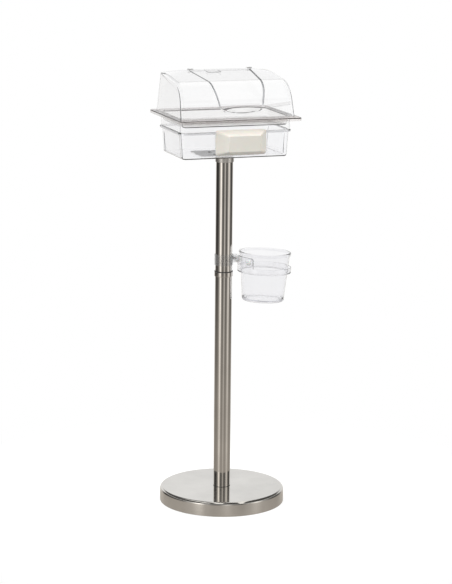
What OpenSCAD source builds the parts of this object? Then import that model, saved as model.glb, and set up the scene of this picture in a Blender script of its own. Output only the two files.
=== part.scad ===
/* [Base] */
// Diameter of the round base
base_d = 355.6; // [300:0.1:420]
// Height of the top of the base above the floor
base_h = 42; // [36:0.5:56]
// Radius of the rolled edge round the top of the base
base_edge_r = 6; // [2:0.5:10]
// Sheet thickness of the base cover
base_sheet = 1.5; // [1:0.1:2.5]
// Gap between the floor and the lower edge of the base cover
base_edge_gap = 1; // [0.5:0.1:2]
// Thickness of the rubber pad under the base
pad_t = 3; // [2:0.5:5]
// How far the pad and the weight stay inside the cover's wall
base_inset = 1.5; // [0.5:0.5:4]
// Diameter of the bolt that ties the base to the pole
base_bolt_d = 12; // [8:1:16]
// Width across the flats of that bolt's head
base_bolt_af = 19; // [14:1:24]
// Height of that bolt's head
base_bolt_head = 7.5; // [5:0.5:10]
// Diameter of the washer under that head
base_washer_d = 36; // [28:1:50]
// Thickness of the washer
base_washer_t = 2.5; // [1.5:0.5:4]

/* [Pole] */
// Outer diameter of the pole tubes
pole_d = 48; // [40:0.5:52]
// Wall of the pole tubes
pole_wall = 1.5; // [1.2:0.1:3]
// Height at which the two pole tubes meet
joint_z = 673; // [560:1:676]
// Height of the upper end of the pole
pole_top_z = 1001; // [960:1:1060]
// Height of the collar that covers the joint of the tubes
collar_h = 15; // [10:1:24]
// How far the collar stands out from the tube
collar_t = 2.2; // [1.5:0.1:4]
// Length of the spigot inside the joint
spigot_l = 110; // [60:5:160]
// Length of the plug at each end of the pole
plug_l = 42; // [30:1:60]

/* [Top plate] */
// Length of the socket that holds the top of the pole
socket_l = 16; // [10:1:30]
// Wall of the socket
socket_wall = 2; // [1.5:0.5:4]
// Thickness of the socket's end disc
socket_cap = 4; // [3:0.5:6]
// Length of the mounting plate, left to right
plate_l = 170; // [130:1:220]
// Depth of the mounting plate, front to back
plate_w = 110; // [80:1:150]
// Thickness of the mounting plate
plate_t = 3; // [2:0.5:5]
// Corner radius of the mounting plate
plate_r = 10; // [4:1:20]
// Distance between the plate screws, left to right
screw_span_x = 76; // [70:1:100]
// Distance between the plate screws, front to back
screw_span_y = 48; // [36:1:70]
// Diameter of the plate screws
screw_d = 5; // [4:0.5:6]
// Diameter of the bolt that ties the plate to the pole
plate_bolt_d = 10; // [8:1:12]

/* [Storage box] */
// Length of the box at its floor
box_l = 305; // [260:1:330]
// Depth of the box at its floor
box_w = 190; // [160:1:200]
// How much wider the box is under its rim than at its floor
box_flare = 10; // [4:1:16]
// Height of the box
box_h = 75; // [50:1:110]
// Wall of the box
box_wall = 3; // [2:0.5:4]
// How far the rim stands out from the wall
box_rim = 6; // [5:0.5:9]
// Thickness of the rim
rim_t = 2.5; // [2:0.5:3]
// Height of the turned down edge of the rim
box_lip = 6; // [4:0.5:10]
// Corner radius of the box at its floor
box_r = 12; // [8:1:20]

/* [Riser frame] */
// How far each end of the frame stands inside the edge of the box's rim
riser_end_in = 3.5; // [2:0.5:5]
// How far its front and back stand inside the edge of the box's rim
riser_side_in = 3; // [2:0.5:5]
// Height of the frame
riser_h = 34.9; // [28:0.1:60]
// Wall of the frame
riser_wall = 3; // [2:0.5:4]

/* [Serving tray] */
// How far the tray's flange stands out past each end of the frame
flange_end = 16.5; // [12:0.5:30]
// How far it stands out past the frame's front and back
flange_side = 44; // [36:1:60]
// Corner radius of the flange
tray_r = 13; // [8:1:20]
// Height of the turned down edge of the flange
tray_lip = 8.5; // [5:0.5:12]
// Thickness of the tray
tray_t = 2.5; // [2:0.5:3]
// Depth of the well
well_h = 25; // [15:1:32]
// How much narrower the well is at its floor
well_draft = 8; // [4:1:12]
// Corner radius of the well
well_r = 14; // [10:1:20]

/* [Dome cover] */
// How far each end of the cover stands inside the edge of the tray
dome_end_in = 11; // [8:0.5:20]
// How much each end leans in over its height
dome_lean = 5.5; // [3:0.5:14]
// How far the cover's back edge stands inside the edge of the tray
dome_back_in = 29; // [22:1:36]
// How much the back wall leans forward over its height
dome_back_lean = 21; // [12:0.1:26]
// Height of the cover at the back
dome_back_h = 115; // [98:0.5:140]
// How much the back of the roof falls from the door to each end
dome_drop = 7.5; // [2:0.5:12]
// How far the cover's front edge stands inside the edge of the tray
dome_front_in = 30; // [24:1:38]
// How much the front wall leans back up to the bend
dome_front_lean = 26.5; // [18:0.1:32]
// Height at which the roof and the front wall would meet without the bend
dome_front_h = 91.5; // [86:0.5:98]
// Radius of the front bend
dome_front_r = 70; // [40:1:74]
// Radius along the top of the back wall
dome_back_r = 8; // [4:1:14]
// Wall of the cover
dome_wall = 3; // [2:0.5:4]

/* [Door] */
// Distance of the door's middle to the right of the cover's middle
door_x = 10; // [-20:1:20]
// Width of the door at its hinge
door_hinge_w = 181; // [156:1:190]
// Width of the door at the front bend
door_bend_w = 149; // [136:1:154]
// Width of the door at its lower edge
door_low_w = 120; // [104:1:134]
// Height of the door's lower edge above the tray
door_low_z = 17; // [13:1:30]
// Height of the flared finger lip at the door's lower edge
lip_h = 18; // [12:1:24]
// Distance of the hinge ahead of the top of the back wall
hinge_in = 19; // [16:0.1:28]
// Thickness of the door
door_t = 2.5; // [2:0.5:3]
// How far the door overlaps the edge of its opening
door_lap = 3.5; // [3:0.5:8]
// Radius of the door's lower corners
door_corner_r = 16; // [8:1:24]
// How far the finger lip flares out from the door
lip_out = 11; // [6:1:16]
// Diameter of the hinge pins
pin_d = 3; // [2:0.5:3.5]
// Diameter of the hinge barrels
barrel_d = 6.4; // [6:0.1:9]
// Length of each hinge barrel
barrel_l = 12; // [8:1:20]
// Thickness of each hinge lug
lug_t = 4; // [3:0.5:6]

/* [Sign] */
// Width of the sign
sign_w = 147; // [110:1:180]
// Height of the sign
sign_h = 70; // [50:1:85]
// Width of the sign's raised panel
panel_w = 92; // [80:1:102]
// Height of the raised panel
panel_h = 44; // [34:1:50]
// How far the panel is raised
panel_rise = 34; // [24:1:38]
// Thickness of the sign's shell
sign_shell = 2; // [1.5:0.1:3]
// Thickness of the plate that closes the back of the sign
sign_back_t = 2; // [1.5:0.1:3]
// Corner radius of the sign
sign_r = 7; // [4:0.5:9]
// Distance of the sign's middle to the right of the box's middle
sign_x = 9; // [-30:1:30]
// How far the sign stands up past the rim of the box
sign_rise = 6; // [4:0.5:10]
// Width of each hook
hook_w = 14; // [8:1:25]
// Distance between the two hooks
hook_span = 90; // [60:1:94]
// Thickness of the hooks
hook_t = 1.6; // [1.2:0.2:2.4]
// Length of the hooks behind the sign
hook_drop = 42; // [30:1:46]

/* [Cup holder] */
// Direction in which the holder points, turned from straight right
arm_az = 15; // [0:1:60]
// Sag of the holder
arm_droop = 2.5; // [0:0.5:5]
// Height of the middle of the clamp on the pole
clamp_z = 706; // [702:1:720]
// Height of the clamp band
clamp_h = 31.5; // [24:0.5:40]
// Thickness of the liner between band and pole
liner_t = 0.9; // [0.6:0.1:1.6]
// Thickness of the clamp band
band_t = 2; // [1.5:0.1:3]
// Length of the clamp's ears
ear_l = 21; // [18:0.5:24]
// Thickness of each ear
ear_t = 4; // [3:0.5:6]
// Thickness of the arm between the ears
arm_t = 5; // [4:0.5:7]
// Diameter of the clamp screw
clamp_screw_d = 5; // [4:0.5:6]
// Diameter of the clamp screw's knob
clamp_knob_d = 14; // [11:0.5:16]
// Distance of the cup's axis from the pole's axis
cup_reach = 142; // [136:1:165]
// Outer diameter of the cup ring
ring_d = 154; // [152:1:166]
// Wall of the cup ring
ring_wall = 3.2; // [2.5:0.1:4]
// Height of the cup ring
ring_h = 16.5; // [10:0.5:22]
// Height of the lower edge of the cup ring
ring_z = 661; // [655:1:665]
// Height of the middle of the saddle
saddle_z = 695; // [693:0.5:697]
// Height of the saddle and its round ends
saddle_h = 25; // [20:0.5:26]
// Thickness of the saddle
saddle_t = 3; // [2:0.5:4]
// Angle of each ring screw from the arm's direction
saddle_a = 21; // [16:1:30]
// Diameter of the ring screws' round heads
ring_head_d = 16; // [12:0.5:20]

/* [Cup] */
// Outer diameter of the cup's rim
cup_rim_d = 149.6; // [146:0.1:152]
// Outer diameter of the cup's foot
cup_foot_d = 119.2; // [114:0.1:122]
// Height of the cup's foot above the floor
cup_z = 578; // [570:1:584]
// Height of the cup
cup_h = 141; // [141:1:170]
// Wall of the cup
cup_wall = 2.2; // [1.5:0.1:3]
// Widening of the cup's radius for each millimetre of height
cup_taper = 0.09; // [0.085:0.001:0.092]
// Height of the turned down edge of the rim
cup_lip = 9; // [4:0.5:9.5]

/* [Hidden] */

// Facets of round shapes, and of the corners inside a hull
$fn = 96;
hull_fn = 32;
// Clearance of a turned fit on one side
fit = 0.05;
// Gap between a piece that lifts off and its seat
seat = 0.3;
// Clearance of a bolt hole on one side
bolt_gap = 0.4;
// Overshoot of a cut past the surface it opens
over = 1;
// Thickness of the slices that span a hull
slice = 0.02;
// Ratio of a hexagon's corner diameter to its width across the flats
hex = 2 / sqrt(3);
// Steps along each rounded corner of an outline
arc_steps = 8;

pole_r = pole_d / 2;
pole_bore_r = pole_r - pole_wall;
plug_r = pole_bore_r - fit;
weight_top_z = base_h - base_sheet - seat;
// Room under the head of the base bolt, and length by which a bolt ends short of its plug
head_room = 2;
bolt_short = 6;
base_bolt_seat_z = pad_t + base_bolt_head + base_washer_t + head_room;
base_bolt_top_z = base_h + plug_l - bolt_short;

socket_z = pole_top_z - socket_l;
plate_z = pole_top_z + socket_cap;
box_z = plate_z + plate_t;
plate_bolt_r = plate_bolt_d / 2;
// Heads and nuts as shares of the thread's diameter
cap_head = 1.6;
cap_socket = 0.8;
pan_head = 1.9;
pan_head_h = 0.6;
nut_flats = 1.6;
nut_thick = 0.8;
// Height of the plate bolt's head above the box floor, and the gap round it
plate_bolt_proud = 1;
plate_bolt_gap = 1;
plate_bolt_head_r = plate_bolt_r * cap_head;
plate_bolt_head_h = box_wall + plate_bolt_proud;
screw_r = screw_d / 2;
nut_h = screw_d * nut_thick;
screw_head_h = screw_d * pan_head_h;
// Length of thread that shows past a nut
screw_tip = 1.5;

box_top_l = box_l + box_flare;
box_top_w = box_w + box_flare;
box_top_r = box_r + box_flare / 2;
box_rim_z = box_z + box_h;
rim_l = box_top_l + 2 * box_rim;
rim_w = box_top_w + 2 * box_rim;
// Thickness of the turned down edges of rim and flange
edge_t = 2;
riser_l = rim_l - 2 * riser_end_in;
riser_w = rim_w - 2 * riser_side_in;
riser_z = box_rim_z + seat;
tray_under_z = riser_z + riser_h + seat;
tray_z = tray_under_z + tray_t;
tray_l = riser_l + 2 * flange_end;
tray_w = riser_w + 2 * flange_side;
// Gap between the well and the frame round it, and how much sharper the well's floor corners are
well_gap = 1.5;
well_sharper = 2;
well_l = riser_l - 2 * riser_wall - 2 * well_gap;
well_w = riser_w - 2 * riser_wall - 2 * well_gap;
dome_z = tray_z + seat;
dome_l = tray_l - 2 * dome_end_in;
dome_back_y = tray_w / 2 - dome_back_in;
dome_back_top_y = dome_back_y - dome_back_lean;
dome_front_y = tray_w / 2 - dome_front_in;
dome_front_top_y = dome_front_y - dome_front_lean;
hinge_y = dome_back_top_y - hinge_in;
// How far a piece reaches into the wall that it grows from
root = 1;
// Reach of a cut above the cover
above = 20;

ring_r = ring_d / 2;
ring_in_r = ring_r - ring_wall;
// Height of the ledge that holds the cup, and how far the ring's ear reaches past its screws
ledge_h = 3;
ear_past_a = 9;
// Radius of the arm's end, and how much lower than the band the ears are
arm_end_r = 9;
ear_lower = 7;
ear_x = pole_r + band_t + ear_l;
band_in_r = pole_r + fit + liner_t + fit;
band_r = band_in_r + band_t;
pivot_x = ear_x - arm_end_r;
ear_gap = arm_t + 2 * seat;
ear_y = ear_gap / 2 + ear_t;
ear_h = clamp_h - ear_lower;
screw_turn_r = clamp_screw_d / 2;
knob_l = 8;
// Grips round the knob: their number, their radius and how far out their middles lie
grips = 8;
grip_r = 1.4;
grip_out = 0.5;
// Gap between saddle and ring, how much the saddle's ends are trimmed, and the arm's step above its edge
saddle_gap = 0.2;
saddle_trim = 2;
arm_step = 2;
saddle_in_r = ring_r + saddle_gap;
saddle_r = saddle_in_r + saddle_t;
saddle_top_z = saddle_z + saddle_h / 2;
ring_screw_r = 2;
ring_head_h = 3;
ring_head_step = 1;
ring_nut_r = 3.6;
ring_nut_h = 2.2;
ring_nut_gap = 0.2;
cup_top_z = cup_z + cup_h;
cup_foot_r = cup_foot_d / 2;
cup_rim_r = cup_rim_d / 2;
// Thickness of the cup's rim and of its turned down edge
cup_rim_t = 2.5;
cup_lip_t = 1.6;
// Height, width and slope of the ring that the cup stands on, and thickness of its floor
cup_foot_h = 4;
cup_foot_w = 10;
cup_foot_slope = 2;
cup_floor = 3;

// Radius of the cup's outer wall at height z
function cup_r(z) = cup_foot_r + cup_taper * (z - cup_z);

// Unit vector from a to b, and the normal on its left
function dir(a, b) = (b - a) / norm(b - a);
function left(d) = [-d[1], d[0]];

// Points along an arc of radius r that rounds corner c between p and n
function corner_arc(p, c, n, r) =
    let (u = dir(c, p), v = dir(c, n), half = acos(u * v) / 2)
    let (mid = c + dir([0, 0], u + v) * r / sin(half))
    let (s = c + u * r / tan(half) - mid, e = c + v * r / tan(half) - mid)
    let (a0 = atan2(s[1], s[0]), turn = (atan2(e[1], e[0]) - a0 + 540) % 360 - 180)
    [for (i = [0 : arc_steps]) mid + r * [cos(a0 + turn * i / arc_steps), sin(a0 + turn * i / arc_steps)]];

// Middle of the arc that rounds corner c between p and n
function arc_middle(p, c, n, r) =
    let (u = dir(c, p), v = dir(c, n), half = acos(u * v) / 2)
    c + dir([0, 0], u + v) * r * (1 / sin(half) - 1);

// Open outline moved sideways by o, to the left of its direction
function shifted(pts, o) = [for (i = [0 : len(pts) - 1])
    let (a = max(i - 1, 0), b = min(i, len(pts) - 2))
    let (n0 = left(dir(pts[a], pts[a + 1])), n1 = left(dir(pts[b], pts[b + 1])))
    pts[i] + o * (n0 + n1) / (1 + n0 * n1)];

function reversed(pts) = [for (i = [len(pts) - 1 : -1 : 0]) pts[i]];

// Side outline of the cover from the front edge over the top to the back edge,
// carried on below the tray by the depth of one overshoot
dome_front = [-dome_front_y, 0];
dome_bend = [-dome_front_top_y, dome_front_h];
dome_rear = [dome_back_top_y, dome_back_h];
dome_back = [dome_back_y, 0];
dome_side = concat(
    [dome_front + dir(dome_bend, dome_front) * 4 * over],
    corner_arc(dome_front, dome_bend, dome_rear, dome_front_r),
    corner_arc(dome_bend, dome_rear, dome_back, dome_back_r),
    [dome_back + dir(dome_rear, dome_back) * 4 * over]);
roof_slope = (dome_back_h - dome_front_h) / (dome_back_top_y + dome_front_top_y);
// Height of the roof of the cover at depth y
function roof_z(y) = dome_front_h + roof_slope * (y + dome_front_top_y);
// Depth of the front wall's outer face at height z
function front_face_y(z) = -dome_front_y + (dome_front_y - dome_front_top_y) * z / dome_front_h;
// Gap between the door and the cover, and how much more the lugs stand round the pins than the barrels
door_gap = 0.4;
lug_more = 0.4;
hinge_z = roof_z(hinge_y) + door_gap + barrel_d / 2;
// Middle of the front bend, where the sides of the door turn
bend_mid = arc_middle(dome_front, dome_bend, dome_rear, dome_front_r);
bend_y = bend_mid[0];
bend_z = bend_mid[1];
// Overlap of the door at its hinge as a multiple of its overlap at the sides
hinge_lap = 1.5;
// Front outline of the cover from the left end over the roof to the right end, carried on below the
// tray. The roof falls to each end from just outside the hinge lugs.
dome_half = dome_l / 2;
dome_end_h = dome_back_h - dome_drop;
dome_foot = dome_half + 4 * over * dome_lean / dome_end_h;
crown_half = abs(door_x) + door_hinge_w / 2 + seat + lug_t;
dome_ends = [
    [-dome_foot, -4 * over], [dome_lean - dome_half, dome_end_h],
    [-crown_half, dome_back_h], [-crown_half, dome_back_h + above],
    [crown_half, dome_back_h + above], [crown_half, dome_back_h],
    [dome_half - dome_lean, dome_end_h], [dome_foot, -4 * over]];
// Closed end of each barrel, and the gap before its pin
barrel_end = 2;
pin_gap = 0.5;
// Half the thickness of the finger lip's edge, and its bevel
lip_edge = 1;
lip_bevel = 1.5;

// Flat shapes

module rounded_rect(l, w, r) {
    square([l - 2 * r, w], center = true);
    square([l, w - 2 * r], center = true);
    for (x = [-1, 1], y = [-1, 1])
        translate([x * (l / 2 - r), y * (w / 2 - r)]) circle(r);
}

module rounded_plate(l, w, r, h) {
    linear_extrude(h) rounded_rect(l, w, r);
}

// Upright wall of thickness t that follows a rounded rectangle
module rounded_wall(l, w, r, t, h) {
    linear_extrude(h) difference() {
        rounded_rect(l, w, r);
        rounded_rect(l - 2 * t, w - 2 * t, r - t);
    }
}

// Block whose rounded rectangle grows from the floor to the top
module flared_block(l0, w0, r0, l1, w1, r1, h) {
    hull() {
        rounded_plate(l0, w0, r0, slice, $fn = hull_fn);
        translate([0, 0, h - slice]) rounded_plate(l1, w1, r1, slice, $fn = hull_fn);
    }
}

// Outline in depth and height, carried along the width
module along_x(l) {
    rotate([90, 0, 90]) translate([0, 0, -l / 2]) linear_extrude(l) children();
}

// Outline in width and height, carried backward from y0 to y1
module along_y(y0, y1) {
    translate([0, y1, 0]) rotate([90, 0, 0]) linear_extrude(y1 - y0) children();
}

// Base

module floor_pad() {
    color("dimgray") cylinder(r = base_d / 2 - base_sheet - base_inset, h = pad_t);
}

module base_weight() {
    r = base_d / 2 - base_sheet - base_inset;
    edge = base_edge_r;
    color("gray") difference() {
        rotate_extrude() polygon([[0, pad_t], [r, pad_t], [r, weight_top_z - edge],
            [r - edge, weight_top_z], [0, weight_top_z]]);
        translate([0, 0, pad_t - over])
            cylinder(r = base_washer_d / 2 + over, h = base_bolt_seat_z - pad_t + over);
        cylinder(r = base_bolt_d / 2 + bolt_gap, h = base_h);
    }
}

module base_cover() {
    r = base_d / 2;
    e = base_edge_r;
    color("silver") difference() {
        rotate_extrude() union() {
            translate([0, base_edge_gap]) square([r, base_h - e - base_edge_gap]);
            square([r - e, base_h]);
            translate([r - e, base_h - e]) circle(e);
        }
        rotate_extrude() union() {
            translate([0, -over]) square([r - base_sheet, base_h - e + over]);
            square([r - e, base_h - base_sheet]);
            translate([r - e, base_h - e]) circle(e - base_sheet);
        }
        cylinder(r = base_bolt_d / 2 + bolt_gap, h = base_h + over);
    }
}

module base_bolt() {
    head_z = base_bolt_seat_z - base_washer_t - base_bolt_head;
    color("silver") {
        translate([0, 0, head_z]) cylinder(d = base_bolt_af * hex, h = base_bolt_head, $fn = 6);
        translate([0, 0, head_z]) cylinder(d = base_bolt_d, h = base_bolt_top_z - head_z);
    }
}

module base_washer() {
    color("silver") translate([0, 0, base_bolt_seat_z - base_washer_t]) difference() {
        cylinder(d = base_washer_d, h = base_washer_t);
        translate([0, 0, -over]) cylinder(r = base_bolt_d / 2 + bolt_gap, h = base_washer_t + 2 * over);
    }
}

// Pole

module tube(z0, z1) {
    translate([0, 0, z0]) difference() {
        cylinder(r = pole_r, h = z1 - z0);
        translate([0, 0, -over]) cylinder(r = pole_bore_r, h = z1 - z0 + 2 * over);
    }
}

// Plug between two heights with a tapped hole for a bolt of diameter d
module plug(z0, z1, d) {
    translate([0, 0, z0]) difference() {
        cylinder(r = plug_r, h = z1 - z0);
        translate([0, 0, -over]) cylinder(r = d / 2 + fit, h = z1 - z0 + 2 * over);
    }
}

module lower_pole() {
    color("lightgray") tube(base_h, joint_z);
}

module upper_pole() {
    color("lightgray") tube(joint_z, pole_top_z);
}

module bottom_plug() {
    color("gray") plug(base_h, base_h + plug_l, base_bolt_d);
}

module top_plug() {
    color("gray") plug(pole_top_z - plug_l, pole_top_z, plate_bolt_d);
}

module joint_collar() {
    r = pole_r + collar_t;
    c = collar_t * 0.7;
    color("lightgray") difference() {
        translate([0, 0, joint_z - collar_h]) rotate_extrude() polygon([[0, 0], [r - c, 0],
            [r, c], [r, collar_h - c], [r - c, collar_h], [0, collar_h]]);
        translate([0, 0, joint_z - collar_h - over])
            cylinder(r = pole_r + fit, h = collar_h + 2 * over);
    }
}

module joint_spigot() {
    color("gray") translate([0, 0, joint_z - spigot_l / 2]) difference() {
        cylinder(r = plug_r, h = spigot_l);
        translate([0, 0, -over]) cylinder(r = plug_r - 2 * pole_wall, h = spigot_l + 2 * over);
    }
}

// Top plate

module top_socket() {
    color("lightgray") difference() {
        translate([0, 0, socket_z]) cylinder(r = pole_r + socket_wall, h = socket_l + socket_cap);
        translate([0, 0, socket_z - over]) cylinder(r = pole_r + fit, h = socket_l + over);
        translate([0, 0, socket_z]) cylinder(r = plate_bolt_r + bolt_gap, h = socket_l + socket_cap + over);
    }
}

// Copies at the four plate screws
module at_screws() {
    for (x = [-1, 1], y = [-1, 1])
        translate([x * screw_span_x / 2, y * screw_span_y / 2, 0]) children();
}

module mount_plate() {
    color("silver") translate([0, 0, plate_z]) difference() {
        rounded_plate(plate_l, plate_w, plate_r, plate_t);
        translate([0, 0, -over]) cylinder(r = plate_bolt_r + bolt_gap, h = plate_t + 2 * over);
        at_screws() translate([0, 0, -over]) cylinder(r = screw_r + bolt_gap, h = plate_t + 2 * over);
    }
}

module plate_bolt() {
    foot_z = pole_top_z - plug_l + bolt_short;
    color("silver") difference() {
        union() {
            translate([0, 0, box_z]) cylinder(r = plate_bolt_head_r, h = plate_bolt_head_h);
            translate([0, 0, foot_z]) cylinder(r = plate_bolt_r, h = box_z - foot_z);
        }
        translate([0, 0, box_z + plate_bolt_head_h / 2])
            cylinder(d = plate_bolt_d * cap_socket, h = plate_bolt_head_h, $fn = 6);
    }
}

module mount_screws() {
    top_z = box_z + box_wall;
    foot_z = plate_z - nut_h - screw_tip;
    color("silver") at_screws() {
        translate([0, 0, foot_z]) cylinder(r = screw_r, h = top_z - foot_z);
        translate([0, 0, top_z]) cylinder(r = screw_r * pan_head, h = screw_head_h);
    }
}

module mount_nuts() {
    color("silver") at_screws() translate([0, 0, plate_z - nut_h]) difference() {
        cylinder(d = screw_d * nut_flats * hex, h = nut_h, $fn = 6);
        translate([0, 0, -over]) cylinder(r = screw_r + fit, h = nut_h + 2 * over);
    }
}

// Box, frame and tray

module storage_box() {
    in = 2 * box_wall;
    color("aliceblue", 0.4) difference() {
        translate([0, 0, box_z]) union() {
            flared_block(box_l, box_w, box_r, box_top_l, box_top_w, box_top_r, box_h);
            translate([0, 0, box_h - rim_t])
                rounded_plate(rim_l, rim_w, box_top_r + box_rim, rim_t);
            translate([0, 0, box_h - box_lip])
                rounded_wall(rim_l, rim_w, box_top_r + box_rim, edge_t, box_lip);
        }
        translate([0, 0, box_z + box_wall]) flared_block(box_l - in, box_w - in, box_r - box_wall,
            box_top_l - in, box_top_w - in, box_top_r - box_wall, box_h);
        translate([0, 0, box_z - over]) {
            at_screws() cylinder(r = screw_r + bolt_gap, h = box_wall + 2 * over);
            cylinder(r = plate_bolt_head_r + plate_bolt_gap, h = box_wall + 2 * over);
        }
    }
}

module riser_frame() {
    color("aliceblue", 0.4) translate([0, 0, riser_z])
        rounded_wall(riser_l, riser_w, box_top_r, riser_wall, riser_h);
}

module serving_tray() {
    in = 2 * tray_t;
    well_z = tray_z - well_h;
    l0 = well_l - well_draft;
    w0 = well_w - well_draft;
    r0 = well_r - well_sharper;
    color("gainsboro", 0.6) difference() {
        union() {
            translate([0, 0, tray_under_z]) rounded_plate(tray_l, tray_w, tray_r, tray_t);
            translate([0, 0, tray_z - tray_lip]) rounded_wall(tray_l, tray_w, tray_r, edge_t, tray_lip);
            translate([0, 0, well_z]) flared_block(l0, w0, r0, well_l, well_w, well_r, well_h);
        }
        translate([0, 0, well_z + tray_t]) flared_block(l0 - in, w0 - in, r0 - tray_t,
            well_l - in, well_w - in, well_r - tray_t, well_h);
    }
}

// Cover and door, drawn above the tray's flange

// The space of the cover, moved in on all sides by inset, from height z0 up
module dome_space(inset, z0) {
    intersection() {
        along_x(dome_l + 2 * over) polygon(shifted(dome_side, -inset));
        along_y(-dome_front_y - over, dome_back_y + over) polygon(shifted(dome_ends, -inset));
        translate([-dome_l, -dome_l, z0]) cube([2 * dome_l, 2 * dome_l, 2 * dome_back_h]);
    }
}

// Column over the door's outline, drawn in at the sides by lap and ending at height low
module door_region(lap, low) {
    hinge_half = door_hinge_w / 2 - lap;
    bend_half = door_bend_w / 2 - lap;
    low_half = door_low_w / 2 - lap;
    high = dome_back_h + above;
    low_left = [-low_half, low];
    low_right = [low_half, low];
    r = door_corner_r - min(lap, door_corner_r / 2);
    translate([door_x, 0, 0]) {
        translate([0, 0, dome_front_h / 2]) linear_extrude(high) polygon([
            [-hinge_half, hinge_y - hinge_lap * lap], [hinge_half, hinge_y - hinge_lap * lap],
            [bend_half, bend_y], [-bend_half, bend_y]]);
        along_y(-dome_front_y - above, bend_y) polygon(concat(
            [[bend_half, high], [-bend_half, high], [-bend_half, bend_z]],
            corner_arc([-bend_half, bend_z], low_left, low_right, r),
            corner_arc(low_left, low_right, [bend_half, bend_z], r),
            [[bend_half, bend_z]]));
    }
}

// Both ends of the hinge line, as a place along the width and a side
module at_hinge_ends() {
    for (side = [-1, 1])
        translate([door_x + side * door_hinge_w / 2, hinge_y, hinge_z])
            rotate([0, side * 90, 0]) children();
}

module dome_cover() {
    lug_r = barrel_d / 2 + lug_more;
    color("aliceblue", 0.35) translate([0, 0, dome_z]) difference() {
        union() {
            difference() {
                dome_space(0, 0);
                dome_space(dome_wall, -2 * over);
                door_region(door_lap, door_low_z + lip_h + door_lap);
            }
            at_hinge_ends() translate([0, 0, seat]) cylinder(r = lug_r, h = lug_t);
            for (side = [-1, 1])
                translate([door_x + side * (door_hinge_w / 2 + seat + lug_t / 2), hinge_y, hinge_z])
                    translate([-lug_t / 2, -lug_r, -lug_r - root]) cube([lug_t, 2 * lug_r, lug_r + root]);
        }
        at_hinge_ends() translate([0, 0, seat - over]) cylinder(r = pin_d / 2 + fit, h = lug_t + 2 * over);
    }
}

module front_door() {
    sheet = concat(shifted(dome_side, door_gap), reversed(shifted(dome_side, door_gap + door_t)));
    root_z = door_low_z + lip_h;
    foot_z = root_z - door_t;
    root_y = front_face_y(foot_z) - 2 * door_gap;
    tip_y = front_face_y(door_low_z) - door_gap - lip_out;
    color("aliceblue", 0.35) translate([0, 0, dome_z]) difference() {
        union() {
            intersection() {
                along_x(dome_l) polygon(sheet);
                door_region(0, root_z - door_corner_r);
                translate([-dome_l, -dome_l, foot_z])
                    cube([2 * dome_l, 2 * dome_l, 2 * dome_back_h]);
            }
            intersection() {
                along_x(dome_l) polygon([[root_y, root_z + root], [root_y, foot_z],
                    [tip_y + lip_edge, door_low_z], [tip_y - lip_edge, door_low_z + lip_bevel],
                    [root_y - door_t, root_z + root]]);
                door_region(0, door_low_z);
            }
            at_hinge_ends() translate([0, 0, -barrel_l]) cylinder(d = barrel_d, h = barrel_l);
        }
        at_hinge_ends() translate([0, 0, barrel_end - barrel_l])
            cylinder(r = pin_d / 2 + fit, h = barrel_l);
    }
}

module hinge_pins() {
    start = barrel_end + pin_gap - barrel_l;
    color("dimgray") translate([0, 0, dome_z]) at_hinge_ends()
        translate([0, 0, start]) cylinder(d = pin_d, h = seat + lug_t - start);
}

// Sign

hook_y = -rim_w / 2 - seat;
sign_back_y = hook_y - hook_t;
sign_mid_z = box_rim_z + sign_rise - sign_h / 2;
// Depth of the hooks' teeth over the rim
hook_tooth = 2.6;

// Frustum with its large face w by h at depth y, which rises towards the front
module raised_panel(w, h, top_w, top_h, rise, y) {
    intersection() {
        along_x(w) polygon([[y, -h / 2], [y, h / 2], [y - rise, top_h / 2], [y - rise, -top_h / 2]]);
        translate([0, 0, -h]) linear_extrude(2 * h)
            polygon([[-w / 2, y], [w / 2, y], [top_w / 2, y - rise], [-top_w / 2, y - rise]]);
    }
}

// Outline of the sign with its raised panel from depth front to back, drawn in all round by half of inset
module sign_form(inset, front, back) {
    intersection() {
        union() {
            raised_panel(sign_w - inset, sign_h - inset, panel_w - inset, panel_h - inset, panel_rise, front);
            along_y(front, back) square([sign_w - inset, sign_h - inset], center = true);
        }
        along_y(front - panel_rise - over, back)
            rounded_rect(sign_w - inset, sign_h - inset, sign_r - inset / 2);
    }
}

module sign_plaque() {
    front_y = sign_back_y - sign_back_t;
    color("ivory") translate([sign_x, 0, sign_mid_z]) difference() {
        sign_form(0, front_y - sign_shell, sign_back_y);
        sign_form(2 * sign_shell, front_y, sign_back_y + over);
    }
}

module sign_back() {
    gap = 2 * (sign_shell + fit);
    color("ivory") translate([sign_x, 0, sign_mid_z]) along_y(sign_back_y - sign_back_t, sign_back_y)
        rounded_rect(sign_w - gap, sign_h - gap, sign_r - sign_shell);
}

module sign_hooks() {
    top = box_rim_z + seat + hook_t;
    color("aliceblue", 0.4) for (side = [-1, 1])
        translate([sign_x + side * hook_span / 2, 0, 0]) along_x(hook_w) polygon([
            [sign_back_y, top - hook_drop], [hook_y, top - hook_drop], [hook_y, box_rim_z + seat],
            [hook_y + hook_tooth, box_rim_z + seat], [hook_y + hook_tooth, top], [sign_back_y, top]]);
}

// Cup holder

// Turns a piece into the holder's direction
module at_arm() {
    rotate([0, 0, arm_az]) children();
}

// Turns a piece into the holder's direction and lets it sag about the clamp screw
module sagging() {
    at_arm() translate([pivot_x, 0, clamp_z]) rotate([0, arm_droop, 0])
        translate([-pivot_x, 0, -clamp_z]) children();
}

// Rod across the arm, from side y0 to y1, at the clamp screw
module across(r, y0, y1) {
    translate([pivot_x, y1, clamp_z]) rotate([90, 0, 0]) cylinder(r = r, h = y1 - y0);
}

module clamp_liner() {
    color("whitesmoke") at_arm() translate([0, 0, clamp_z - clamp_h / 2]) difference() {
        cylinder(r = pole_r + fit + liner_t, h = clamp_h);
        translate([0, 0, -over]) cylinder(r = pole_r + fit, h = clamp_h + 2 * over);
    }
}

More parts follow.
